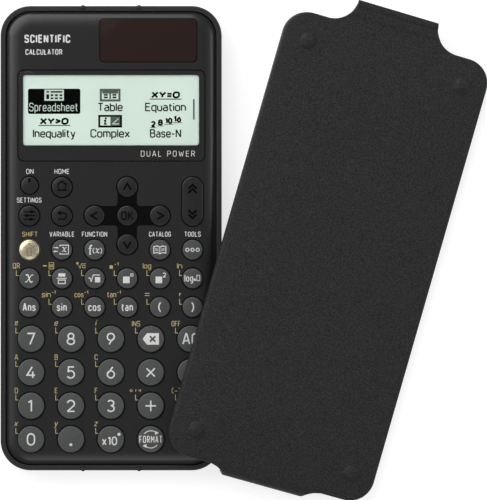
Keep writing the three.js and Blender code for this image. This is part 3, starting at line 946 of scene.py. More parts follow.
def paint_cross(piece):
    """The recess's floor is glossy."""
    middle = node_centre("ok_key")
    reach = node_centre("right_key").x - middle.x
    for face in piece.data.polygons:
        centre = face.center / MM
        floor = abs(centre.z - (PANEL_TOP - CROSS_DEPTH)) < 0.02 and face.normal.z > 0.9
        near = abs(centre.x - middle.x) < reach + 1 and abs(centre.y - middle.y) < reach + 1
        if floor and near:
            face.material_index = 1


def key_hole(node):
    """The cutter for a key's hole, with a small flare for the hole's broken edge."""
    centre = node_centre(node)
    radius = key_radius(node) + KEY_HOLE_GAP
    top = panel_height(centre.x, centre.y)
    flare = 0.14
    profile = [
        (0, PANEL_UNDER - 1),
        (radius, PANEL_UNDER - 1),
        (radius, top - flare),
        (radius + flare + 1, top + 1),
        (0, top + 1),
    ]
    return turned(profile, 56, (centre.x, centre.y))


def page_hole():
    """The cutter for the page rocker's long hole."""
    centre = node_centre("page_key")
    size = node_size("page_key")
    gap = KEY_HOLE_GAP - KEY_FLANGE_LIP
    width, length = size.x + 2 * gap, size.y + 2 * gap
    rings = [
        rounded_ring(width, length, width / 2, z, 20, centre)
        for z in (PANEL_UNDER - 1, PANEL_TOP + 1)
    ]
    return loft(rings)


def panel_openings():
    """Recesses for the display window and the solar panel, and the opening over the display."""
    shapes = []
    for node, corner, depth in (
        ("display_window", WINDOW_CORNER, 1.2), ("solar_panel", SOLAR_CORNER, 1.35)
    ):
        centre, size = node_centre(node), node_size(node)
        bottom = PANEL_TOP - depth
        shapes.append(loft([
            rounded_ring(size.x + 2 * GAP, size.y + 2 * GAP, corner + GAP, z, 12, centre)
            for z in (bottom, PANEL_TOP + 1)
        ]))
    view = node_centre("lcd_panel")
    shapes.append(loft([
        rounded_ring(*VIEW_SIZE, 1.0, z, 8, view) for z in (PANEL_UNDER - 1, PANEL_TOP + 1)
    ]))
    return shapes


def rear_shell():
    """The tray: back face, rounded lower edge, upright side, thin rim and a hollow inside."""

    def ring(inset, z):
        return inset_ring(CASE_SIZE, CASE_CORNER, inset, z, 20)

    inner_lip = ((0.0, 0.3), (0.06, 0.14), (0.16, 0.04), (0.3, 0.0))
    outer_lip = ((0.4, 0.0), (0.24, 0.04), (0.11, 0.13), (0.03, 0.25), (0.0, 0.4))
    rings = [ring(CASE_WALL, CASE_FLOOR)]
    rings += [ring(CASE_WALL - away, RIM_TOP - drop) for away, drop in inner_lip]
    rings += [ring(inset, RIM_TOP - drop) for inset, drop in outer_lip]
    across, lower = CASE_ROUND
    rings += [ring(across - x, lower - z) for x, z in oval(0, 0, across, lower, 0, 90, 8)]
    piece = mesh_object("rear_shell", *loft(rings), smooth_angle=40)
    for end in (-1, 1):
        for side in (-1, 1):
            place = (side * RIB_X, end * (CASE_SIZE[1] / 2 + RIB_PROUD - RIB_RADIUS))
            cut(piece, rib_notch(place))
            combine(piece, end_rib(place), "UNION", 40)
    cut(piece, *rear_recesses())
    wear_material(piece, "case")
    weight_normals(piece)
    finish_piece(piece, "calculator", "case_black", "rear_case")


def rib_notch(place):
    """The cutter for the small gap in the rim round a rib's upper end."""
    low, high = RIM_TOP - 0.75, RIM_TOP + 1
    profile = [(0, low), (RIB_RADIUS + 0.14, low), (RIB_RADIUS + 0.18, high), (0, high)]
    return turned(profile, 32, place)


def end_rib(place):
    """A small upright round rib with soft ends, for the cover's tongue to snap over."""
    radius, low, high = RIB_RADIUS, 3.2, RIM_TOP - 0.12
    soft = 0.3
    profile = [(0, low)]
    profile += [(radius * math.sin(a), low + radius * (1 - math.cos(a)) * 0.6)
                for a in (0.4, 0.8, 1.2, 1.57)]
    profile += [(radius - soft * (1 - math.cos(a)), high - soft * (1 - math.sin(a)))
                for a in (0.0, 0.4, 0.8, 1.2, 1.57)]
    profile += [(0, high)]
    return turned(profile, 32, place)


def rear_recesses():
    """The battery cover's seat with the cell's well in it, and the counterbores of the case screws."""
    door, door_size = node_centre("battery_cover"), node_size("battery_cover")
    seat = loft([
        rounded_ring(door_size.x + 2 * GAP + extra, door_size.y + 2 * GAP + extra, 2.8, z, 8, door)
        for z, extra in ((-1, 0.5), (0.15, 0.0), (door_size.z + GAP, 0.0))
    ])
    cell, cell_size = node_centre("button_cell"), node_size("button_cell")
    well = turned(
        [(0, -1), (cell_size.x / 2 + GAP, -1), (cell_size.x / 2 + GAP, 4), (0, 4)], 48, cell.xy
    )
    bores = [
        turned([(0, -1), (2.35, -1), (1.95, 0.2), (1.95, 1.1), (0, 1.1)], 32, place)
        for place in BOSS_PLACES
    ]
    return [seat, well, merge(*bores)]


def screw_shape(radius, low, height, centre):
    """A pan head seen from below, as a solid of revolution."""
    profile = [(0, low), (radius * 0.55, low + 0.02), (radius * 0.85, low + 0.1)]
    profile += [(radius, low + 0.28), (radius, low + height), (0, low + height)]
    return turned(profile, 40, centre)


def cross_slot(radius, depth, centre):
    """The cutter for a cross recess, tapering as it goes in."""
    arm, thin = radius * 0.62, radius * 0.14
    shapes = []
    for across in (False, True):
        rings = []
        for z, share in ((-1, 1.0), (depth, 0.55)):
            x, y = (arm * share, thin * share) if across else (thin * share, arm * share)
            cx, cy = centre
            rings.append([(cx - x, cy - y, z), (cx + x, cy - y, z),
                          (cx + x, cy + y, z), (cx - x, cy + y, z)])
        shapes.append(loft(rings))
    return shapes


def screws():
    """The battery cover's screw and the six that hold the two halves of the case together."""
    battery = node_centre("battery_screw").xy
    places = [("battery_screw_head", battery, 2.0, 0.1, ["battery_screw"])]
    places += [(f"case_screw_{i + 1}", place, 1.75, 0.2, []) for i, place in enumerate(BOSS_PLACES)]
    for name, place, radius, low, replaced in places:
        piece = mesh_object(name, *screw_shape(radius, low, 0.7, place))
        if replaced:
            shank = turned([(0, 0.5), (0.9, 0.5), (0.9, 3.9), (0, 4.4)], 24, place)
            combine(piece, shank, "UNION")
        cut(piece, *cross_slot(radius, low + 0.45, place))
        wear_material(piece, "steel")
        finish_piece(piece, "calculator", "steel", *replaced)


def battery_door():
    """The flush cover of the battery compartment, with a counterbore and three grip ridges."""
    centre, size = node_centre("battery_cover"), node_size("battery_cover")
    top = size.z
    rings = [
        rounded_ring(size.x - 2 * inset, size.y - 2 * inset, 2.5 - inset, z, 10, centre)
        for inset, z in ((0.3, 0.0), (0.1, 0.07), (0.0, 0.25), (0.0, top))
    ]
    piece = mesh_object("battery_door", *loft(rings))
    screw = node_centre("battery_screw").xy
    cut(
        piece,
        turned([(0, -1), (2.5, -1), (2.3, 0.15), (2.3, 1.0), (0, 1.0)], 36, screw),
        turned([(0, -1), (1.2, -1), (1.2, top + 1), (0, top + 1)], 24, screw),
    )
    low_x = centre.x - size.x / 2
    for i in range(4):
        x = low_x + 2.4 + 1.5 * i
        cut(piece, block((x, centre.y - 4.2, -1), (x + 0.7, centre.y + 4.2, 0.28)))
    wear_material(piece, "case")
    finish_piece(piece, "calculator", "case_black", "battery_cover")


# ---- display and solar panel ----------------------------------------------------------------------


def plate_with_opening(outer, inner, low, high, edge=0.12):
    """A flat plate, rounded rectangle outside and inside, with a broken upper edge."""
    (ow, ol, oc, ocentre), (iw, il, ic, icentre) = outer, inner
    steps = 12
    rings = [
        rounded_ring(iw, il, ic, low, steps, icentre),
        rounded_ring(iw, il, ic, high - edge, steps, icentre),
        rounded_ring(iw + edge, il + edge, ic, high, steps, icentre),
        rounded_ring(ow - 2 * edge, ol - 2 * edge, oc, high, steps, ocentre),
        rounded_ring(ow, ol, oc, high - edge, steps, ocentre),
        rounded_ring(ow, ol, oc, low, steps, ocentre),
    ]
    return tube_loft(rings)


def plate_rings(size, corner, centre, levels, steps=10):
    """Rings of a rounded plate at (inset, height) levels, all with the same corner radius."""
    return [
        rounded_ring(size.x - 2 * inset, size.y - 2 * inset, corner, z, steps, centre)
        for inset, z in levels
    ]


def clear_cover(name, rings, *replaced):
    """A thin clear plate that throws no shadow on what it covers."""
    pane = mesh_object(name, *loft(rings))
    wear_material(pane, "pane")
    finish_piece(pane, "calculator", "window_clear", *replaced)
    pane.visible_shadow = False


def display():
    """Dark surround, clear pane over it, and the liquid-crystal panel with its menu picture."""
    low, high = node_box("display_window")
    size, centre = node_size("display_window"), node_centre("display_window")
    view = node_centre("lcd_panel")
    surround = mesh_object("display_surround", *plate_with_opening(
        (size.x, size.y, WINDOW_CORNER, centre), (*VIEW_SIZE, 1.0, view), low.z, high.z - 0.2,
    ))
    wear_material(surround, "surround")
    finish_piece(surround, "calculator", "window_clear")

    clear_cover("display_pane", plate_rings(
        size, WINDOW_CORNER, centre,
        ((0.05, high.z - 0.18), (0.05, high.z - 0.04), (0.12, high.z)), 12,
    ), "display_window")

    low, high = node_box("lcd_panel")
    surface = high.z + LCD_STEP
    rings = plate_rings(
        node_size("lcd_panel"), 0.6, view,
        ((0.15, low.z), (0, low.z + 0.15), (0, high.z - 0.15), (0.15, high.z)), 6,
    )
    rings += [
        rounded_ring(VIEW_SIZE[0] - 0.1, VIEW_SIZE[1] - 0.1, 0.95, z, 6, view)
        for z in (high.z, surface)
    ]
    glass = mesh_object("lcd_glass", *loft(rings))
    wear_material(glass, "lcd", "lcd_ink", "lcd_grey", "lcd_light")
    for i, picture in enumerate(lcd_layers()):
        lift = 0.05 if i == 2 else 0.02
        add_shape(glass, picture.solid(lambda x, y: surface, 60, lift), i + 1)
    finish_piece(glass, "calculator", "lcd_glass", "lcd_panel")


def menu_label(layer, words, x, y, width):
    """A menu entry's name on the display."""
    layer.lettering(words, x, y, 3.0, width, 0.44, 0.0, 0.4)


def lcd_layers():
    """The menu on the display: dark dots, half-dark dots, and clear dots on the dark tile."""
    dark, grey, light = Print(), Print(), Print()
    left, middle, right = -19.85, -0.3, 19.05
    upper, lower = 45.8, 36.6
    tile = rounded_ring(18.3, 8.8, 0.7, 0, 4, (left, 47.8))
    dark.polygon([(x, y) for x, y, _ in tile])
    light.lettering("Spreadsheet", left - 0.2, upper, 3.0, 17.0, 0.27, 0.0, 1.2)
    menu_label(dark, "Table", middle, upper, 8.8)
    menu_label(dark, "Equation", right, upper, 14.3)
    menu_label(dark, "Inequality", left, lower, 14.9)
    menu_label(dark, "Complex", middle, lower, 13.8)
    menu_label(dark, "Base-N", right, lower, 10.9)
    sheet_icon(light, left, 49.95)
    table_icon(dark, grey, middle, 49.95)
    for sign, x, y in (("XY=0", right, 50.05), ("XY>0", left, 40.85)):
        dark.lettering(sign, x, y, 2.45, 10.1, 0.68, 0.1, 0.0)
        grey.box(x - 5.5, y - 1.65, x + 5.6, y - 1.3)
    complex_icon(dark, grey, light, middle, 40.85)
    base_icon(dark, grey, right, 40.85)
    grey.box(28.65, 41.4, 29.2, 48.6)
    return dark, grey, light


def sheet_icon(light, x, y):
    """A sheet with a heading bar, a row-number block and two rows of cells, left dark."""
    for low, high, left in (
        (1.42, 1.95, -3.4), (0.3, 0.88, -3.4), (-0.8, -0.32, -1.72), (-1.95, -1.4, -3.4)
    ):
        light.box(x + left, y + low, x + 3.4, y + high)
    light.box(x - 3.4, y - 1.95, x - 2.75, y + 1.95)
    light.box(x - 1.75, y - 1.95, x - 1.2, y + 1.95)
    light.box(x + 2.85, y - 1.95, x + 3.4, y + 1.95)
    for across in (-0.3, 1.3):
        light.box(x + across, y - 1.4, x + across + 0.6, y + 0.3)


def table_icon(dark, grey, x, y):
    """Two columns of two entries under a heading bar."""
    grey.outline_box(x - 3.25, y - 1.85, x + 3.25, y + 1.85, 0.75)
    grey.box(x - 2.75, y + 0.55, x + 2.75, y + 1.5)
    grey.box(x - 0.3, y - 1.35, x + 0.3, y + 0.65)
    for column in (-1.5, 1.5):
        for row in (-0.8, 0.1):
            dark.box(x + column - 0.68, y + row - 0.3, x + column + 0.68, y + row + 0.3)


def complex_icon(dark, grey, light, x, y):
    """A split tile: an i on the left, an angle on the right."""
    dark.outline_box(x - 3.8, y - 1.85, x + 3.8, y + 1.85, 0.72)
    dark.stroke(
        [(x - 2.2, y + 0.25), (x - 1.6, y + 0.25), (x - 1.9, y - 1.0), (x - 1.2, y - 1.0)], 0.5
    )
    dark.disc(x - 1.5, y + 1.0, 0.36)
    grey.box(x + 0.1, y - 1.45, x + 3.45, y + 1.45)
    light.stroke([(x + 2.9, y + 0.9), (x + 0.8, y - 0.95), (x + 3.1, y - 0.95)], 0.34)


def base_icon(dark, grey, x, y):
    """Four number bases climbing like stairs."""
    steps = (("2", -4.3, 1.7), ("8", -1.8, 1.85), ("10", 1.1, 2.6), ("16", 4.15, 2.75))
    for i, (words, across, width) in enumerate(steps):
        rise = -1.0 + 0.57 * i
        dark.lettering(words, x + across, y + rise, 2.2, width, 0.6, 0.0, 0.1)
        low_x, high_x = x + across - width * 0.6, x + across + width * 0.6
        grey.box(low_x, y + rise - 1.35, high_x, y + rise - 1.12)


def solar_block():
    """A dark cell under its clear cover, with the fine gaps between its four strips."""
    low, high = node_box("solar_panel")
    centre, size = node_centre("solar_panel"), node_size("solar_panel")
    shelf = 8.4
    rings = plate_rings(size, 1.0, centre, ((1.3, low.z), (1.3, shelf)))
    rings += plate_rings(
        size, SOLAR_CORNER, centre, ((0, shelf), (0, high.z - 0.32), (0.1, high.z - 0.22))
    )
    piece = mesh_object("solar_cells", *loft(rings))
    for i in (1, 2, 3):
        x = low.x + size.x * i / 4
        cut(piece, block(
            (x - 0.06, low.y + 1.2, high.z - 0.26), (x + 0.06, high.y - 1.2, high.z + 1)
        ))
    wear_material(piece, "solar")
    finish_piece(piece, "calculator", "solar_glass", "solar_panel")
    clear_cover("solar_pane", plate_rings(
        size, SOLAR_CORNER, centre, ((0, high.z - 0.2), (0, high.z - 0.05), (0.08, high.z))
    ))


# ---- key legends ---------------------------------------------------------------------------------


def digit_legend(digit):
    def draw(drawing):
        for points, closed in digit_strokes(digit):
            drawing.stroke(points, DIGIT_PEN, closed)
    return draw


def word_legend(words, height, width, pen, y=0.0):
    def draw(drawing):
        drawing.lettering(words, 0, y, height, width, pen)
    return draw


def filled_square(drawing, x, y, size):
    drawing.box(x - size / 2, y - size / 2, x + size / 2, y + size / 2)


def open_square(drawing, x, y, size, pen=0.2, tall=1.0):
    half = size / 2
    drawing.outline_box(x - half, y - half * tall, x + half, y + half * tall, pen)


def arrow_head(drawing, x, y, size, way):
    """A solid head that points right for way = 1 and left for way = -1."""
    back = x - way * size * 0.4
    drawing.polygon([(x + way * size, y), (back, y + size * 0.75), (back, y - size * 0.75)])


def shift_legend(drawing):
    drawing.stroke([(-1.65, 0.6), (0, 2.25), (1.65, 0.6)], 0.24)
    drawing.stroke([(-0.75, -1.95), (-0.75, 0.6), (0.75, 0.6), (0.75, -1.95)], 0.2, True)


def home_legend(drawing):
    drawing.stroke([(-1.65, 0.85), (0, 2.0), (1.65, 0.85)], 0.52)
    drawing.stroke([(-1.25, 0.9), (-1.25, -1.0)], 0.3)
    drawing.stroke([(1.25, 0.9), (1.25, -1.0)], 0.3)
    drawing.box(-1.65, -1.32, 1.65, -0.82)


def settings_legend(drawing):
    for y, knob in ((1.35, 0.8), (0.08, -0.8), (-1.25, 0.6)):
        drawing.box(-1.95, y - 0.2, 1.95, y + 0.2)
        filled_square(drawing, knob, y, 0.95)


def back_legend(drawing):
    turn = oval(0.5, -0.13, 1.1, 1.1, 85, -50, 9)
    drawing.stroke([(-0.4, 0.97), (0.4, 0.97)] + turn, 0.42)
    drawing.box(-1.5, -1.42, 1.3, -0.98)
    arrow_head(drawing, -0.75, 0.97, 1.1, -1)


def on_legend(drawing):
    drawing.box(-0.42, 1.0, 0.42, 2.45)


def arrow_legend(dx, dy):
    def draw(drawing):
        side = [(-1.3, -0.95), (0, 1.2), (1.3, -0.95)]
        drawing.stroke([(x * dy + y * dx, y * dy - x * dx) for x, y in side], 0.6)
    return draw


def italic_x(drawing, x, y, size, heavy, light):
    """A slanting x: one heavy stroke with curled ends crossed by a light one."""
    heavy_line = [
        (-0.74, 0.7), (-0.46, 0.86), (-0.2, 0.66), (0.2, -0.68), (0.46, -0.88), (0.76, -0.66)
    ]
    light_line = [
        (0.94, 0.72), (0.72, 0.84), (0.4, 0.56), (-0.4, -0.58), (-0.72, -0.86), (-0.94, -0.72)
    ]
    for line, pen in ((heavy_line, heavy), (light_line, light)):
        drawing.stroke([(x + px * size, y + py * size) for px, py in line], pen)


def variable_legend(drawing):
    frame_line = [(-0.65, 1.2), (-0.65, 1.6), (2.3, 1.6), (2.3, -1.5), (-0.65, -1.5), (-0.65, -1.1)]
    drawing.stroke(frame_line, 0.3)
    italic_x(drawing, 0.85, 0.1, 0.9, 0.3, 0.2)
    for y, way in ((0.72, 1), (-0.55, -1)):
        drawing.box(-2.8, y - 0.12, -1.3, y + 0.12)
        arrow_head(drawing, -1.6 if way > 0 else -2.5, y, 0.5, way)


def function_legend(drawing):
    drawing.stroke([(-0.85, 1.35), (-1.2, 1.55), (-1.55, 1.1), (-1.55, -1.5)], 0.42)
    drawing.box(-2.1, 0.35, -0.95, 0.62)
    drawing.box(-2.0, -1.7, -1.1, -1.46)
    italic_x(drawing, 1.0, -0.35, 0.82, 0.32, 0.2)
    for way in (-1, 1):
        curve = oval(-0.4, 0, 1.3, 1.3, -48, 48, 8)
        drawing.stroke([(1.0 + way * (x + 0.62), y - 0.35) for x, y in curve], 0.26)


def catalog_legend(drawing):
    for side in (-1, 1):
        page = [(0, 0.85), (side * 0.9, 1.35), (side * 2.1, 1.1), (side * 2.1, -1.2),
                (side * 0.9, -0.95), (0, -1.45)]
        drawing.stroke(page, 0.32)
        for y in (-0.35, 0.0, 0.35):
            drawing.stroke([(side * 0.45, y - 0.05), (side * 1.65, y + 0.12)], 0.14)
    drawing.box(-0.13, -1.4, 0.13, 0.9)


def tools_legend(drawing):
    for x in (-1.8, 0.0, 1.8):
        drawing.ring(x, 0, 0.56, 0.3, 18)


def x_legend(drawing):
    italic_x(drawing, 0, 0, 1.55, 0.44, 0.28)


def fraction_legend(drawing):
    drawing.box(-1.2, 0.62, 1.2, 1.78)
    drawing.box(-1.75, -0.12, 1.75, 0.2)
    drawing.outline_box(-1.2, -1.78, 1.2, -0.55, 0.34)


def root_legend(drawing):
    drawing.stroke([(-2.1, 0.1), (-1.6, 0.2), (-1.15, -1.15), (-0.45, 1.2), (1.9, 1.2)], 0.32)
    filled_square(drawing, 1.05, -0.45, 1.85)


def power_legend(drawing):
    filled_square(drawing, -0.3, -0.5, 2.3)
    open_square(drawing, 1.65, 1.2, 0.8, 0.24)


def square_legend(drawing):
    filled_square(drawing, -0.35, -0.5, 2.3)
    drawing.lettering("2", 1.6, 1.2, 1.7, 1.15, 0.3)


def log_legend(drawing):
    drawing.lettering("log", -1.3, 0.1, 2.5, 3.0, 0.32)
    filled_square(drawing, 0.75, -0.45, 0.75)
    open_square(drawing, 2.0, 0.15, 1.0, 0.24, 1.9)


def bracket_legend(way):
    """An opening bracket for way = 1 and a closing one for way = -1."""
    def draw(drawing):
        curve = oval(1.3, 0, 1.65, 2.05, 128, 232, 12)
        drawing.stroke([(way * x, y) for x, y in curve], 0.44)
    return draw


def delete_legend(drawing):
    drawing.polygon([(-2.85, 0), (-1.3, -2.0), (2.85, -2.0), (2.85, 2.0), (-1.3, 2.0)])


def delete_cross(drawing):
    """The X that lies over the delete arrow in the cap's own colour."""
    middle, reach = 0.65, 0.95
    drawing.stroke([(middle - reach, -reach), (middle + reach, reach)], 0.6)
    drawing.stroke([(middle - reach, reach), (middle + reach, -reach)], 0.6)


def sign_legend(kind):
    def draw(drawing):
        pen, reach = 0.48, 1.45
        if kind == "times":
            drawing.stroke([(-reach, -reach), (reach, reach)], pen)
            drawing.stroke([(-reach, reach), (reach, -reach)], pen)
        if kind in ("plus", "minus", "divide"):
            drawing.box(-1.85, -pen / 2, 1.85, pen / 2)
        if kind == "plus":
            drawing.box(-pen / 2, -1.85, pen / 2, 1.85)
        if kind == "divide":
            drawing.disc(0, 1.3, 0.4)
            drawing.disc(0, -1.3, 0.4)
    return draw


def point_legend(drawing):
    drawing.disc(0, -1.85, 0.52)


def exponent_legend(drawing):
    drawing.lettering("x10", -0.45, -0.55, 3.1, 5.3, 0.44)
    filled_square(drawing, 2.85, 1.75, 0.95)


def format_legend(drawing):
    drawing.lettering("FORMAT", 0, 0, 2.5, 8.0, 0.3, 0.0, 1.0)
    for way in (-1, 1):
        curve = oval(0, 0, 2.9 * way, 3.0 * way, 140, 52, 12)
        drawing.stroke(curve, 0.28)
        tip = curve[-1]
        arrow_head(drawing, tip[0] + 0.1 * way, tip[1] - 0.1 * way, 0.95, way)


LEGENDS = {
    "on_key": on_legend,
    "home_key": home_legend,
    "settings_key": settings_legend,
    "back_key": back_legend,
    "up_key": arrow_legend(0, 1),
    "down_key": arrow_legend(0, -1),
    "left_key": arrow_legend(-1, 0),
    "right_key": arrow_legend(1, 0),
    "ok_key": word_legend("OK", 3.1, 4.3, 0.46),
    "shift_key": shift_legend,
    "variable_key": variable_legend,
    "function_key": function_legend,
    "catalog_key": catalog_legend,
    "tools_key": tools_legend,
    "x_key": x_legend,
    "fraction_key": fraction_legend,
    "root_key": root_legend,
    "power_key": power_legend,
    "square_key": square_legend,
    "log_key": log_legend,
    "answer_key": word_legend("Ans", 2.75, 4.5, 0.4),
    "sin_key": word_legend("sin", 2.75, 3.5, 0.4),
    "cos_key": word_legend("cos", 2.75, 4.4, 0.4),
    "tan_key": word_legend("tan", 2.75, 4.1, 0.4),
    "open_bracket_key": bracket_legend(1),
    "close_bracket_key": bracket_legend(-1),
    "delete_key": delete_legend,
    "clear_key": word_legend("AC", 4.1, 5.9, 0.52),
    "multiply_key": sign_legend("times"),
    "divide_key": sign_legend("divide"),
    "add_key": sign_legend("plus"),
    "subtract_key": sign_legend("minus"),
    "point_key": point_legend,
    "exponent_key": exponent_legend,
    "format_key": format_legend,
    "execute_key": word_legend("EXE", 2.9, 6.0, 0.42),
}
KNOCKED_OUT = {"delete_key": delete_cross}
DIGIT_NAMES = ("zero", "one", "two", "three", "four", "five", "six", "seven", "eight", "nine")
for number, word in enumerate(DIGIT_NAMES):
    LEGENDS[f"{word}_key"] = digit_legend(str(number))
# the ink on each colour of cap
LEGEND_INK = {"key_gold": "gold_dark", "key_black": "black", "key_grey": "white", "key_number": "white"}


# ---- keys -----------------------------------------------------------------------------------------


def dome_rise(node):
    """How much a cap's top is crowned: the gold key most, the wide keys a little more."""
    if node == "shift_key":
        return 0.62
    return 0.36 if key_radius(node) > BIG_KEY else 0.34


def key_surface(node):
    """Height of a round cap's crowned top, as a function of the point."""
    centre, top, radius = node_centre(node), node_box(node)[1].z, key_radius(node)
    rise = dome_rise(node)

    def height(x, y):
        away = math.hypot(x - centre.x, y - centre.y) / radius
        return top - rise * away * away

    return height


def round_key(node, colour, slot_name):
    """A crowned cap with a rounded edge over its retaining flange and the stub below it."""
    low, high = node_box(node)
    centre, radius = node_centre(node), key_radius(node)
    rise, flange = dome_rise(node), radius + KEY_FLANGE_LIP
    flange_top = low.z + 0.6
    profile = [(0, low.z), (flange - 0.1, low.z), (flange, low.z + 0.1), (flange, flange_top)]
    profile += [(radius, flange_top)]
    inner = radius - CAP_FILLET
    shoulder = high.z - rise * (inner / radius) ** 2
    profile += [
        (inner + CAP_FILLET * math.cos(a), shoulder - CAP_FILLET + CAP_FILLET * math.sin(a))
        for a in (0.0, 0.3, 0.6, 0.9, 1.2, 1.45)
    ]
    profile += [
        (inner * share, high.z - rise * (inner * share / radius) ** 2)
        for share in (0.97, 0.88, 0.76, 0.62, 0.46, 0.3, 0.14)
    ]
    profile += [(0, high.z)]
    piece = mesh_object(node.replace("_key", "_cap"), *turned(profile, 56, centre.xy), 50)
    wear_material(piece, colour, LEGEND_INK[colour])
    drawing = Print()
    LEGENDS[node](drawing)
    drawing.move(centre.x, centre.y)
    add_shape(piece, drawing.solid(key_surface(node)), 1)
    if node in KNOCKED_OUT:
        gap = Print()
        KNOCKED_OUT[node](gap)
        gap.move(centre.x, centre.y)
        add_shape(piece, gap.solid(key_surface(node), raised=PRINT_THICK + 0.03), 0)
    finish_piece(piece, node, slot_name, node)


def page_cap():
    """The page rocker: a long crowned cap over its flange."""
    low, high = node_box("page_key")
    centre, size = node_centre("page_key"), node_size("page_key")
    width, length = size.x - 2 * KEY_FLANGE_LIP, size.y - 2 * KEY_FLANGE_LIP
    half, rise = width / 2, 0.22

    def crown(inside):
        return high.z - rise * (1 - min(inside / half, 1)) ** 2

    def ring(inset, z):
        return inset_ring((width, length), half, inset, z, 18, centre)

    shoulder = crown(CAP_FILLET)
    rings = [ring(-KEY_FLANGE_LIP, low.z), ring(-KEY_FLANGE_LIP, low.z + 0.5), ring(0, low.z + 0.5)]
    rings += [
        ring(CAP_FILLET * (1 - math.cos(a)), shoulder - CAP_FILLET * (1 - math.sin(a)))
        for a in (0.0, 0.3, 0.6, 0.9, 1.2, 1.45)
    ]
    rings += [ring(half * share, crown(half * share)) for share in (0.15, 0.25, 0.4, 0.6, 0.8, 0.93)]
    piece = mesh_object("page_cap", *loft(rings), 50)
    wear_material(piece, "key_black", LEGEND_INK["key_black"])

    def height(x, y):
        along = max(abs(y - centre.y) - (length / 2 - half), 0)
        return crown(half - math.hypot(x - centre.x, along))

    drawing = Print()
    for way in (-1, 1):
        for step in (0.0, 1.45):
            y = way * (3.0 + step)
            drawing.stroke([(-1.45, y), (0, y + way * 1.35), (1.45, y)], 0.72)
    drawing.move(centre.x, centre.y)
    add_shape(piece, drawing.solid(height), 1)
    finish_piece(piece, "page_key", "key_black", "page_key")


def keypad():
    """All the caps: each is gold, black or grey, by its place."""
    black_row = node_box("home_key")[1].z
    for node in ROUND_KEYS:
        if node == "shift_key":
            round_key(node, "key_gold", "key_gold")
        elif node_box(node)[1].z < black_row + 0.05:
            round_key(node, "key_black", "key_black")
        elif key_radius(node) > BIG_KEY:
            round_key(node, "key_number", "key_grey")
        else:
            round_key(node, "key_grey", "key_grey")
    page_cap()


# ---- printing on the panel ------------------------------------------------------------------------


def hook(drawing, x, y, radius):
    """The small corner line that leads from a shifted label down to its key."""
    small = radius < BIG_KEY
    left = x - radius - (1.05 if small else 0.75)
    top = y + (2.85 if small else 3.9)
    bottom = top - 1.85
    drawing.stroke([(left, top), (left, bottom), (left + 0.9, bottom)], 0.24)


def key_label(drawing, words, x, y, width):
    """A word above the key that stands at this place."""
    rise = y + LABEL_RISE
    drawing.lettering(words, x, rise, LABEL_HEIGHT, width, LABEL_PEN, 0.0, LABEL_SPACE)


def white_labels(drawing):
    """The names above the keys and the words at the panel's top."""
    words = {
        "home_key": ("HOME", 5.2),
        "settings_key": ("SETTINGS", 8.6),
        "variable_key": ("VARIABLE", 8.7),
        "function_key": ("FUNCTION", 8.8),
        "catalog_key": ("CATALOG", 7.6),
        "tools_key": ("TOOLS", 5.7),
    }
    for node, (label, width) in words.items():
        centre = node_centre(node)
        key_label(drawing, label, centre.x, centre.y, width)
    key_label(drawing, "ON", node_centre("on_key").x + 0.1, node_centre("home_key").y, 2.6)
    drawing.lettering("SCIENTIFIC", -22.2, 69.6, 2.9, 16.0, 0.52, 0.0, 0.7)
    drawing.lettering("CALCULATOR", -23.4, 65.0, 1.95, 12.9, 0.3)


def thin_label(drawing):
    """The note under the display, in thin letters set wide apart."""
    drawing.lettering("DUAL POWER", 19.9, 29.5, 2.05, 18.9, 0.2, 0.0, 3.6)


def fraction_mark(drawing, x, y):
    drawing.box(x - 2.1, y - 0.22, x - 0.85, y + 0.22)
    drawing.outline_box(x + 0.0, y + 0.35, x + 1.6, y + 1.1, 0.2)
    drawing.box(x - 0.25, y - 0.1, x + 1.85, y + 0.1)
    drawing.outline_box(x + 0.0, y - 1.1, x + 1.6, y - 0.35, 0.2)


def root_mark(drawing, x, y):
    filled_square(drawing, x - 1.5, y + 0.85, 0.75)
    drawing.stroke([(x - 1.3, y - 0.1), (x - 0.95, y), (x - 0.55, y - 0.95), (x - 0.1, y + 0.7),
                    (x + 1.5, y + 0.7)], 0.2)
    open_square(drawing, x + 0.75, y - 0.3, 0.85, 0.18)


def inverse_mark(drawing, x, y):
    filled_square(drawing, x - 1.1, y - 0.45, 1.15)
    drawing.lettering("-1", x + 0.75, y + 0.6, 1.15, 1.4, 0.2)


def trig_mark(words):
    def draw(drawing, x, y):
        drawing.lettering(words, x - 0.95, y, 2.0, 3.2, 0.24)
        drawing.lettering("-1", x + 1.6, y + 0.75, 1.15, 1.3, 0.2)
    return draw


def word_mark(words, width, height=1.95):
    def draw(drawing, x, y):
        drawing.lettering(words, x, y, height, width, 0.22)
    return draw


def italic_mark(letter, width):
    """A small slanting letter for algebra."""
    def draw(drawing, x, y):
        drawing.lettering(letter, x, y + 0.3, 2.1, width, 0.24, 0.22)
    return draw


def degrees_mark(drawing, x, y):
    drawing.ring(x - 1.7, y, 0.38, 0.2, 14)
    for across in (-0.2, 0.95, 1.5):
        drawing.box(x + across, y - 0.35, x + across + 0.22, y + 0.45)


def equals_mark(drawing, x, y):
    drawing.box(x - 0.8, y + 0.25, x + 0.8, y + 0.5)
    drawing.box(x - 0.8, y - 0.5, x + 0.8, y - 0.25)


def comma_mark(drawing, x, y):
    drawing.polygon([(x - 0.1, y - 0.7), (x + 0.5, y + 0.45), (x - 0.2, y + 0.45)])


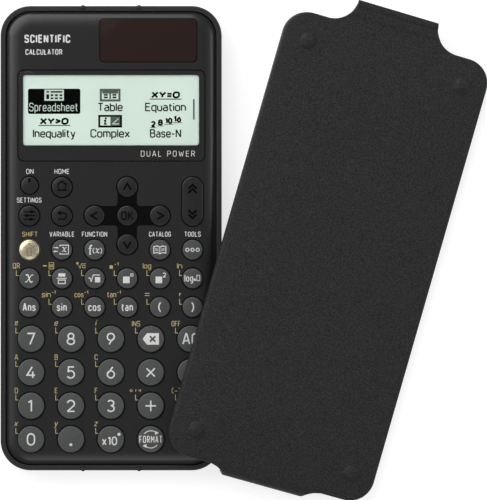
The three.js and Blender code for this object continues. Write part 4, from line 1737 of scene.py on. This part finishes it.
GOLD_MARKS = {
    "x_key": word_mark("QR", 2.5),
    "fraction_key": fraction_mark,
    "root_key": root_mark,
    "power_key": inverse_mark,
    "square_key": word_mark("log", 2.9),
    "log_key": word_mark("ln", 1.8),
    "sin_key": trig_mark("sin"),
    "cos_key": trig_mark("cos"),
    "tan_key": trig_mark("tan"),
    "open_bracket_key": equals_mark,
    "close_bracket_key": comma_mark,
    "seven_key": italic_mark("π", 1.35),
    "eight_key": italic_mark("e", 1.15),
    "nine_key": italic_mark("i", 0.24),
    "delete_key": word_mark("INS", 2.9),
    "clear_key": word_mark("OFF", 3.1),
    "four_key": word_mark("A", 1.25),
    "five_key": word_mark("B", 1.1),
    "six_key": word_mark("C", 1.1),
    "one_key": word_mark("D", 1.15),
    "two_key": word_mark("E", 1.0),
    "three_key": word_mark("F", 1.0),
    "add_key": degrees_mark,
    "subtract_key": word_mark("(-)", 3.0),
    "zero_key": italic_mark("x", 1.25),
    "point_key": italic_mark("y", 1.2),
    "exponent_key": italic_mark("z", 1.15),
}


def gold_labels(drawing):
    """The shifted functions and letters, each with its corner line."""
    centre = node_centre("shift_key")
    key_label(drawing, "SHIFT", centre.x + 0.2, centre.y, 5.4)
    for node, mark in GOLD_MARKS.items():
        centre, radius = node_centre(node), key_radius(node)
        small = radius < BIG_KEY
        mark(drawing, centre.x - (4.5 if small else 5.15), centre.y + (4.4 if small else 5.3))
        hook(drawing, centre.x, centre.y, radius)


def panel_printing():
    """White and gold ink that follows the panel's face."""
    piece = mesh_object("panel_printing", [], [])
    wear_material(piece, "white", "gold")
    for index, fill in enumerate((white_labels, gold_labels, thin_label)):
        drawing = Print()
        fill(drawing)
        add_shape(piece, drawing.solid(panel_height, 1.2), index % 2)
    finish_piece(piece, "calculator", "panel_black")


# ---- the hard cover -------------------------------------------------------------------------------


def cover_place():
    """From the cover's own frame (mm) to where it leans beside the calculator."""
    lean = math.asin((KEY_TOP + COVER_REST) / COVER_SIZE[0])
    lift = COVER_SIZE[0] / 2 * math.sin(lean)
    return (
        Matrix.Translation((*COVER_CENTRE, 0))
        @ Matrix.Rotation(COVER_TURN, 4, "Z")
        @ Matrix.Translation((0, 0, lift))
        @ Matrix.Rotation(lean, 4, "Y")
    )


def cover_crown(inside):
    """Height of the cover's outer face at a distance inside its edge: a broad, low crown."""
    share = max(1 - inside / CROWN_WIDTH, 0)
    height = COVER_HEIGHT - CROWN_DROP * share ** 2
    if inside < EDGE_ROUND:
        share = 1 - inside / EDGE_ROUND
        height -= EDGE_DROP * (1 - math.sqrt(max(1 - share * share, 0)))
    return height


def cover_shell():
    """The cover without its tongues: a hollow under a broad crown, with a soft edge all round."""

    def ring(inset, z):
        return inset_ring(COVER_SIZE, COVER_CORNER, inset, z, 20)

    wall, depth = COVER_WALL, COVER_DEPTH
    ceiling = ((3.2, 0), (1.6, 0.12), (0.6, 0.5), (0, 1.2))
    rings = [ring(wall + away, depth - drop) for away, drop in ceiling]
    rings += [ring(wall - away, z) for away, z in ((0, 0.3), (0.12, 0.08), (0.35, 0))]
    rings += [ring(inset, z) for inset, z in ((0.35, 0), (0.1, 0.08), (0, 0.3))]
    rings += [ring(inset, cover_crown(inset)) for inset in (
        0, 0.02, 0.08, 0.18, 0.32, 0.5, 0.75, 1.2, 2.0, 3.4, 5, 7, 9.5, 12.5, 16, 20, 25, 29
    )]
    return loft(rings)


def tongue_width(along, half):
    """Half the width of a tongue at a distance past the end of the shell."""
    out = min(max(along, 0), TONGUE_FILLET)
    away = TONGUE_FILLET - out
    return half + TONGUE_FILLET - math.sqrt(TONGUE_FILLET ** 2 - away ** 2)


def tongue_sheet(profile, half, end_sign):
    """One tongue: a sheet that follows (along, top, bottom) stations past the end of the shell."""
    end = COVER_SIZE[1] / 2
    across_steps = 28
    soft = 0.5
    rings = []
    for along, top, bottom in profile:
        reach = tongue_width(along, half)
        row = []
        for i in range(across_steps + 1):
            x = -reach * math.cos(math.pi * i / across_steps)
            edge = max(0.0, abs(x) - (reach - soft)) / soft
            row.append((x, end + along, top - 0.3 * edge * edge))
        for i in range(across_steps, -1, -1):
            x = -reach * math.cos(math.pi * i / across_steps)
            row.append((x, end + along, bottom))
        rings.append([(x * end_sign, y * end_sign, z) for x, y, z in row])
    return loft(rings)


def smooth_profile(knots, steps):
    """Even stations along a smooth line through (along, height) knots."""
    def at(t):
        for (x0, z0), (x1, z1) in zip(knots, knots[1:]):
            if t <= x1:
                share = (t - x0) / (x1 - x0)
                blend = share * share * (3 - 2 * share)
                return z0 + (z1 - z0) * blend
        return knots[-1][1]
    low, high = knots[0][0], knots[-1][0]
    return [(low + (high - low) * i / steps, at(low + (high - low) * i / steps))
            for i in range(steps + 1)]


def long_tongue():
    """The pull tab: it carries on from the shell and ends in two low grip ridges."""
    line = smooth_profile(
        [(-5.5, 4.2), (-2.4, 3.78), (0.6, 3.35), (2.3, 3.15), (3.9, 3.58), (6.3, 3.05),
         (7.4, 3.42), (TAB_REACH, 2.9)], 64,
    )
    return [(along, top, max(min(top - 1.15, 4.1), 2.0)) for along, top in line]


def short_tongue():
    """The hook at the other end: the shell's face rolls over and down."""
    line = [(-4.0, 4.0), (-2.4, 3.78)]
    for i in range(13):
        angle = math.radians(90 * i / 12)
        line.append((-1.0 + (HOOK_REACH + 1.0) * math.sin(angle), 3.65 - 4.05 * (1 - math.cos(angle))))
    return [(along, top, min(top - 1.0, 3.2) if along < HOOK_REACH - 1.4 else -2.4)
            for along, top in line]


def clip():
    """The snap wall under the long tongue: it goes down the end of the case to a bead."""
    end = COVER_SIZE[1] / 2
    near, far, reach = 1.4, 2.5, LONG_TONGUE_HALF - 0.8
    outline = [(far, 2.7), (far, -2.4), (far - 0.3, -2.8), (near - 0.25, -2.5)]
    outline += [(near - 0.35, -2.1), (near, -1.6), (near, 2.7)]
    return loft([[(x, end + along, z) for along, z in outline] for x in (-reach, reach)])


def foot_dome(x, y):
    """A low round foot that rises softly out of the cover's face."""
    radius, height = FOOT_DOME
    steps = 12
    base = cover_crown(min(COVER_SIZE[0] / 2 - abs(x), COVER_SIZE[1] / 2 - abs(y)))
    profile = [(0, base - 1), (radius, base - 1)]
    for i in range(steps):
        share = 1 - i / steps
        swell = (1 - share * share) ** 1.1
        profile.append((radius * share, base - 0.03 + height * swell))
    profile.append((0, base - 0.03 + height))
    return turned(profile, 44, (x, y))


def hard_cover():
    """The whole cover in one piece, moved to where it leans."""
    piece = mesh_object("cover_shell", *cover_shell(), smooth_angle=40)
    combine(piece, tongue_sheet(long_tongue(), LONG_TONGUE_HALF, 1), "UNION", 40)
    combine(piece, tongue_sheet(short_tongue(), SHORT_TONGUE_HALF, -1), "UNION", 40)
    combine(piece, clip(), "UNION", 40)
    for x in (-FOOT_X, FOOT_X):
        for y in (-FOOT_Y, FOOT_Y):
            combine(piece, foot_dome(x, y), "UNION", 40)
    wear_material(piece, "cover")
    weight_normals(piece)
    move = cover_place()
    move.translation *= MM
    piece.data.transform(move)
    finish_piece(piece, "hard_cover", "cover_black", "hard_cover")


# ---- inner pieces, stage, camera and lights -------------------------------------------------------


def inner_pieces():
    """The carried-over CAD pieces get their own materials."""
    for node, material in (
        ("circuit_board", "board"),
        ("key_mat", "rubber"),
        ("display_connector", "rubber"),
        ("button_cell", "steel"),
        ("battery_contact", "steel"),
    ):
        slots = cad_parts[node].data.materials
        slots.clear()
        slots.append(MATERIALS[material])


def stage():
    """A pale floor that glows a little, so that shadows on it stay faint."""
    mesh = bpy.data.meshes.new("floor")
    corners = ((-1, -1), (1, -1), (1, 1), (-1, 1))
    mesh.from_pydata([(x * FLOOR_REACH, y * FLOOR_REACH, 0) for x, y in corners], [], [(0, 1, 2, 3)])
    floor = bpy.data.objects.new("floor", mesh)
    bpy.context.scene.collection.objects.link(floor)
    pale = Surface("pale_floor", (FLOOR_SHADE,) * 3, 0.95, specular=0.0)
    pale.set("Emission Color", (1, 1, 1, 1))
    pale.set("Emission Strength", FLOOR_GLOW)
    floor.data.materials.append(pale.material)


def area_light(name, azimuth, tilt, distance, size, power):
    """A soft box on the sphere round the object: azimuth from +X, tilt from straight up."""
    azimuth, tilt = math.radians(azimuth), math.radians(tilt)
    light = bpy.data.lights.new(name, "AREA")
    light.shape = "RECTANGLE"
    light.size, light.size_y = size
    light.energy = power
    holder = bpy.data.objects.new(name, light)
    away = Vector((
        math.sin(tilt) * math.cos(azimuth), math.sin(tilt) * math.sin(azimuth), math.cos(tilt)
    ))
    holder.location = LIGHT_TARGET + away * distance
    holder.rotation_euler = (-away).to_track_quat("-Z", "Y").to_euler()
    bpy.context.scene.collection.objects.link(holder)


def lights():
    """Four soft boxes round a darker zenith; the far left one is the strongest."""
    world = bpy.data.worlds.new("studio")
    bpy.context.scene.world = world
    world.use_nodes = True
    background = world.node_tree.nodes["Background"]
    background.inputs["Color"].default_value = (1, 1, 1, 1)
    background.inputs["Strength"].default_value = WORLD_LIGHT
    area_light("far_light", 130, 55, 0.75, (1.0, 0.7), 6.5)
    area_light("left_light", 184, 50, 0.9, (0.6, 0.5), 0.5)
    area_light("right_light", 2, 49, 0.9, (0.6, 0.42), 1.9)
    area_light("near_light", 270, 42, 0.9, (0.6, 0.34), 1.2)
    bpy.context.scene.view_settings.view_transform = "Standard"


def camera():
    """Straight down with a long lens."""
    middle = (0.04628, -0.00413)
    view_height = 0.1746
    distance = 1.6
    data = bpy.data.cameras.new("camera")
    data.sensor_fit = "VERTICAL"
    data.sensor_height = 36
    data.lens = data.sensor_height * (distance - 0.009) / view_height
    data.clip_end = 10
    holder = bpy.data.objects.new("camera", data)
    holder.location = (*middle, distance)
    bpy.context.scene.collection.objects.link(holder)
    bpy.context.scene.camera = holder


camera()
lights()
stage()
rear_shell()
front_panel()
battery_door()
screws()
display()
solar_block()
keypad()
panel_printing()
hard_cover()
inner_pieces()
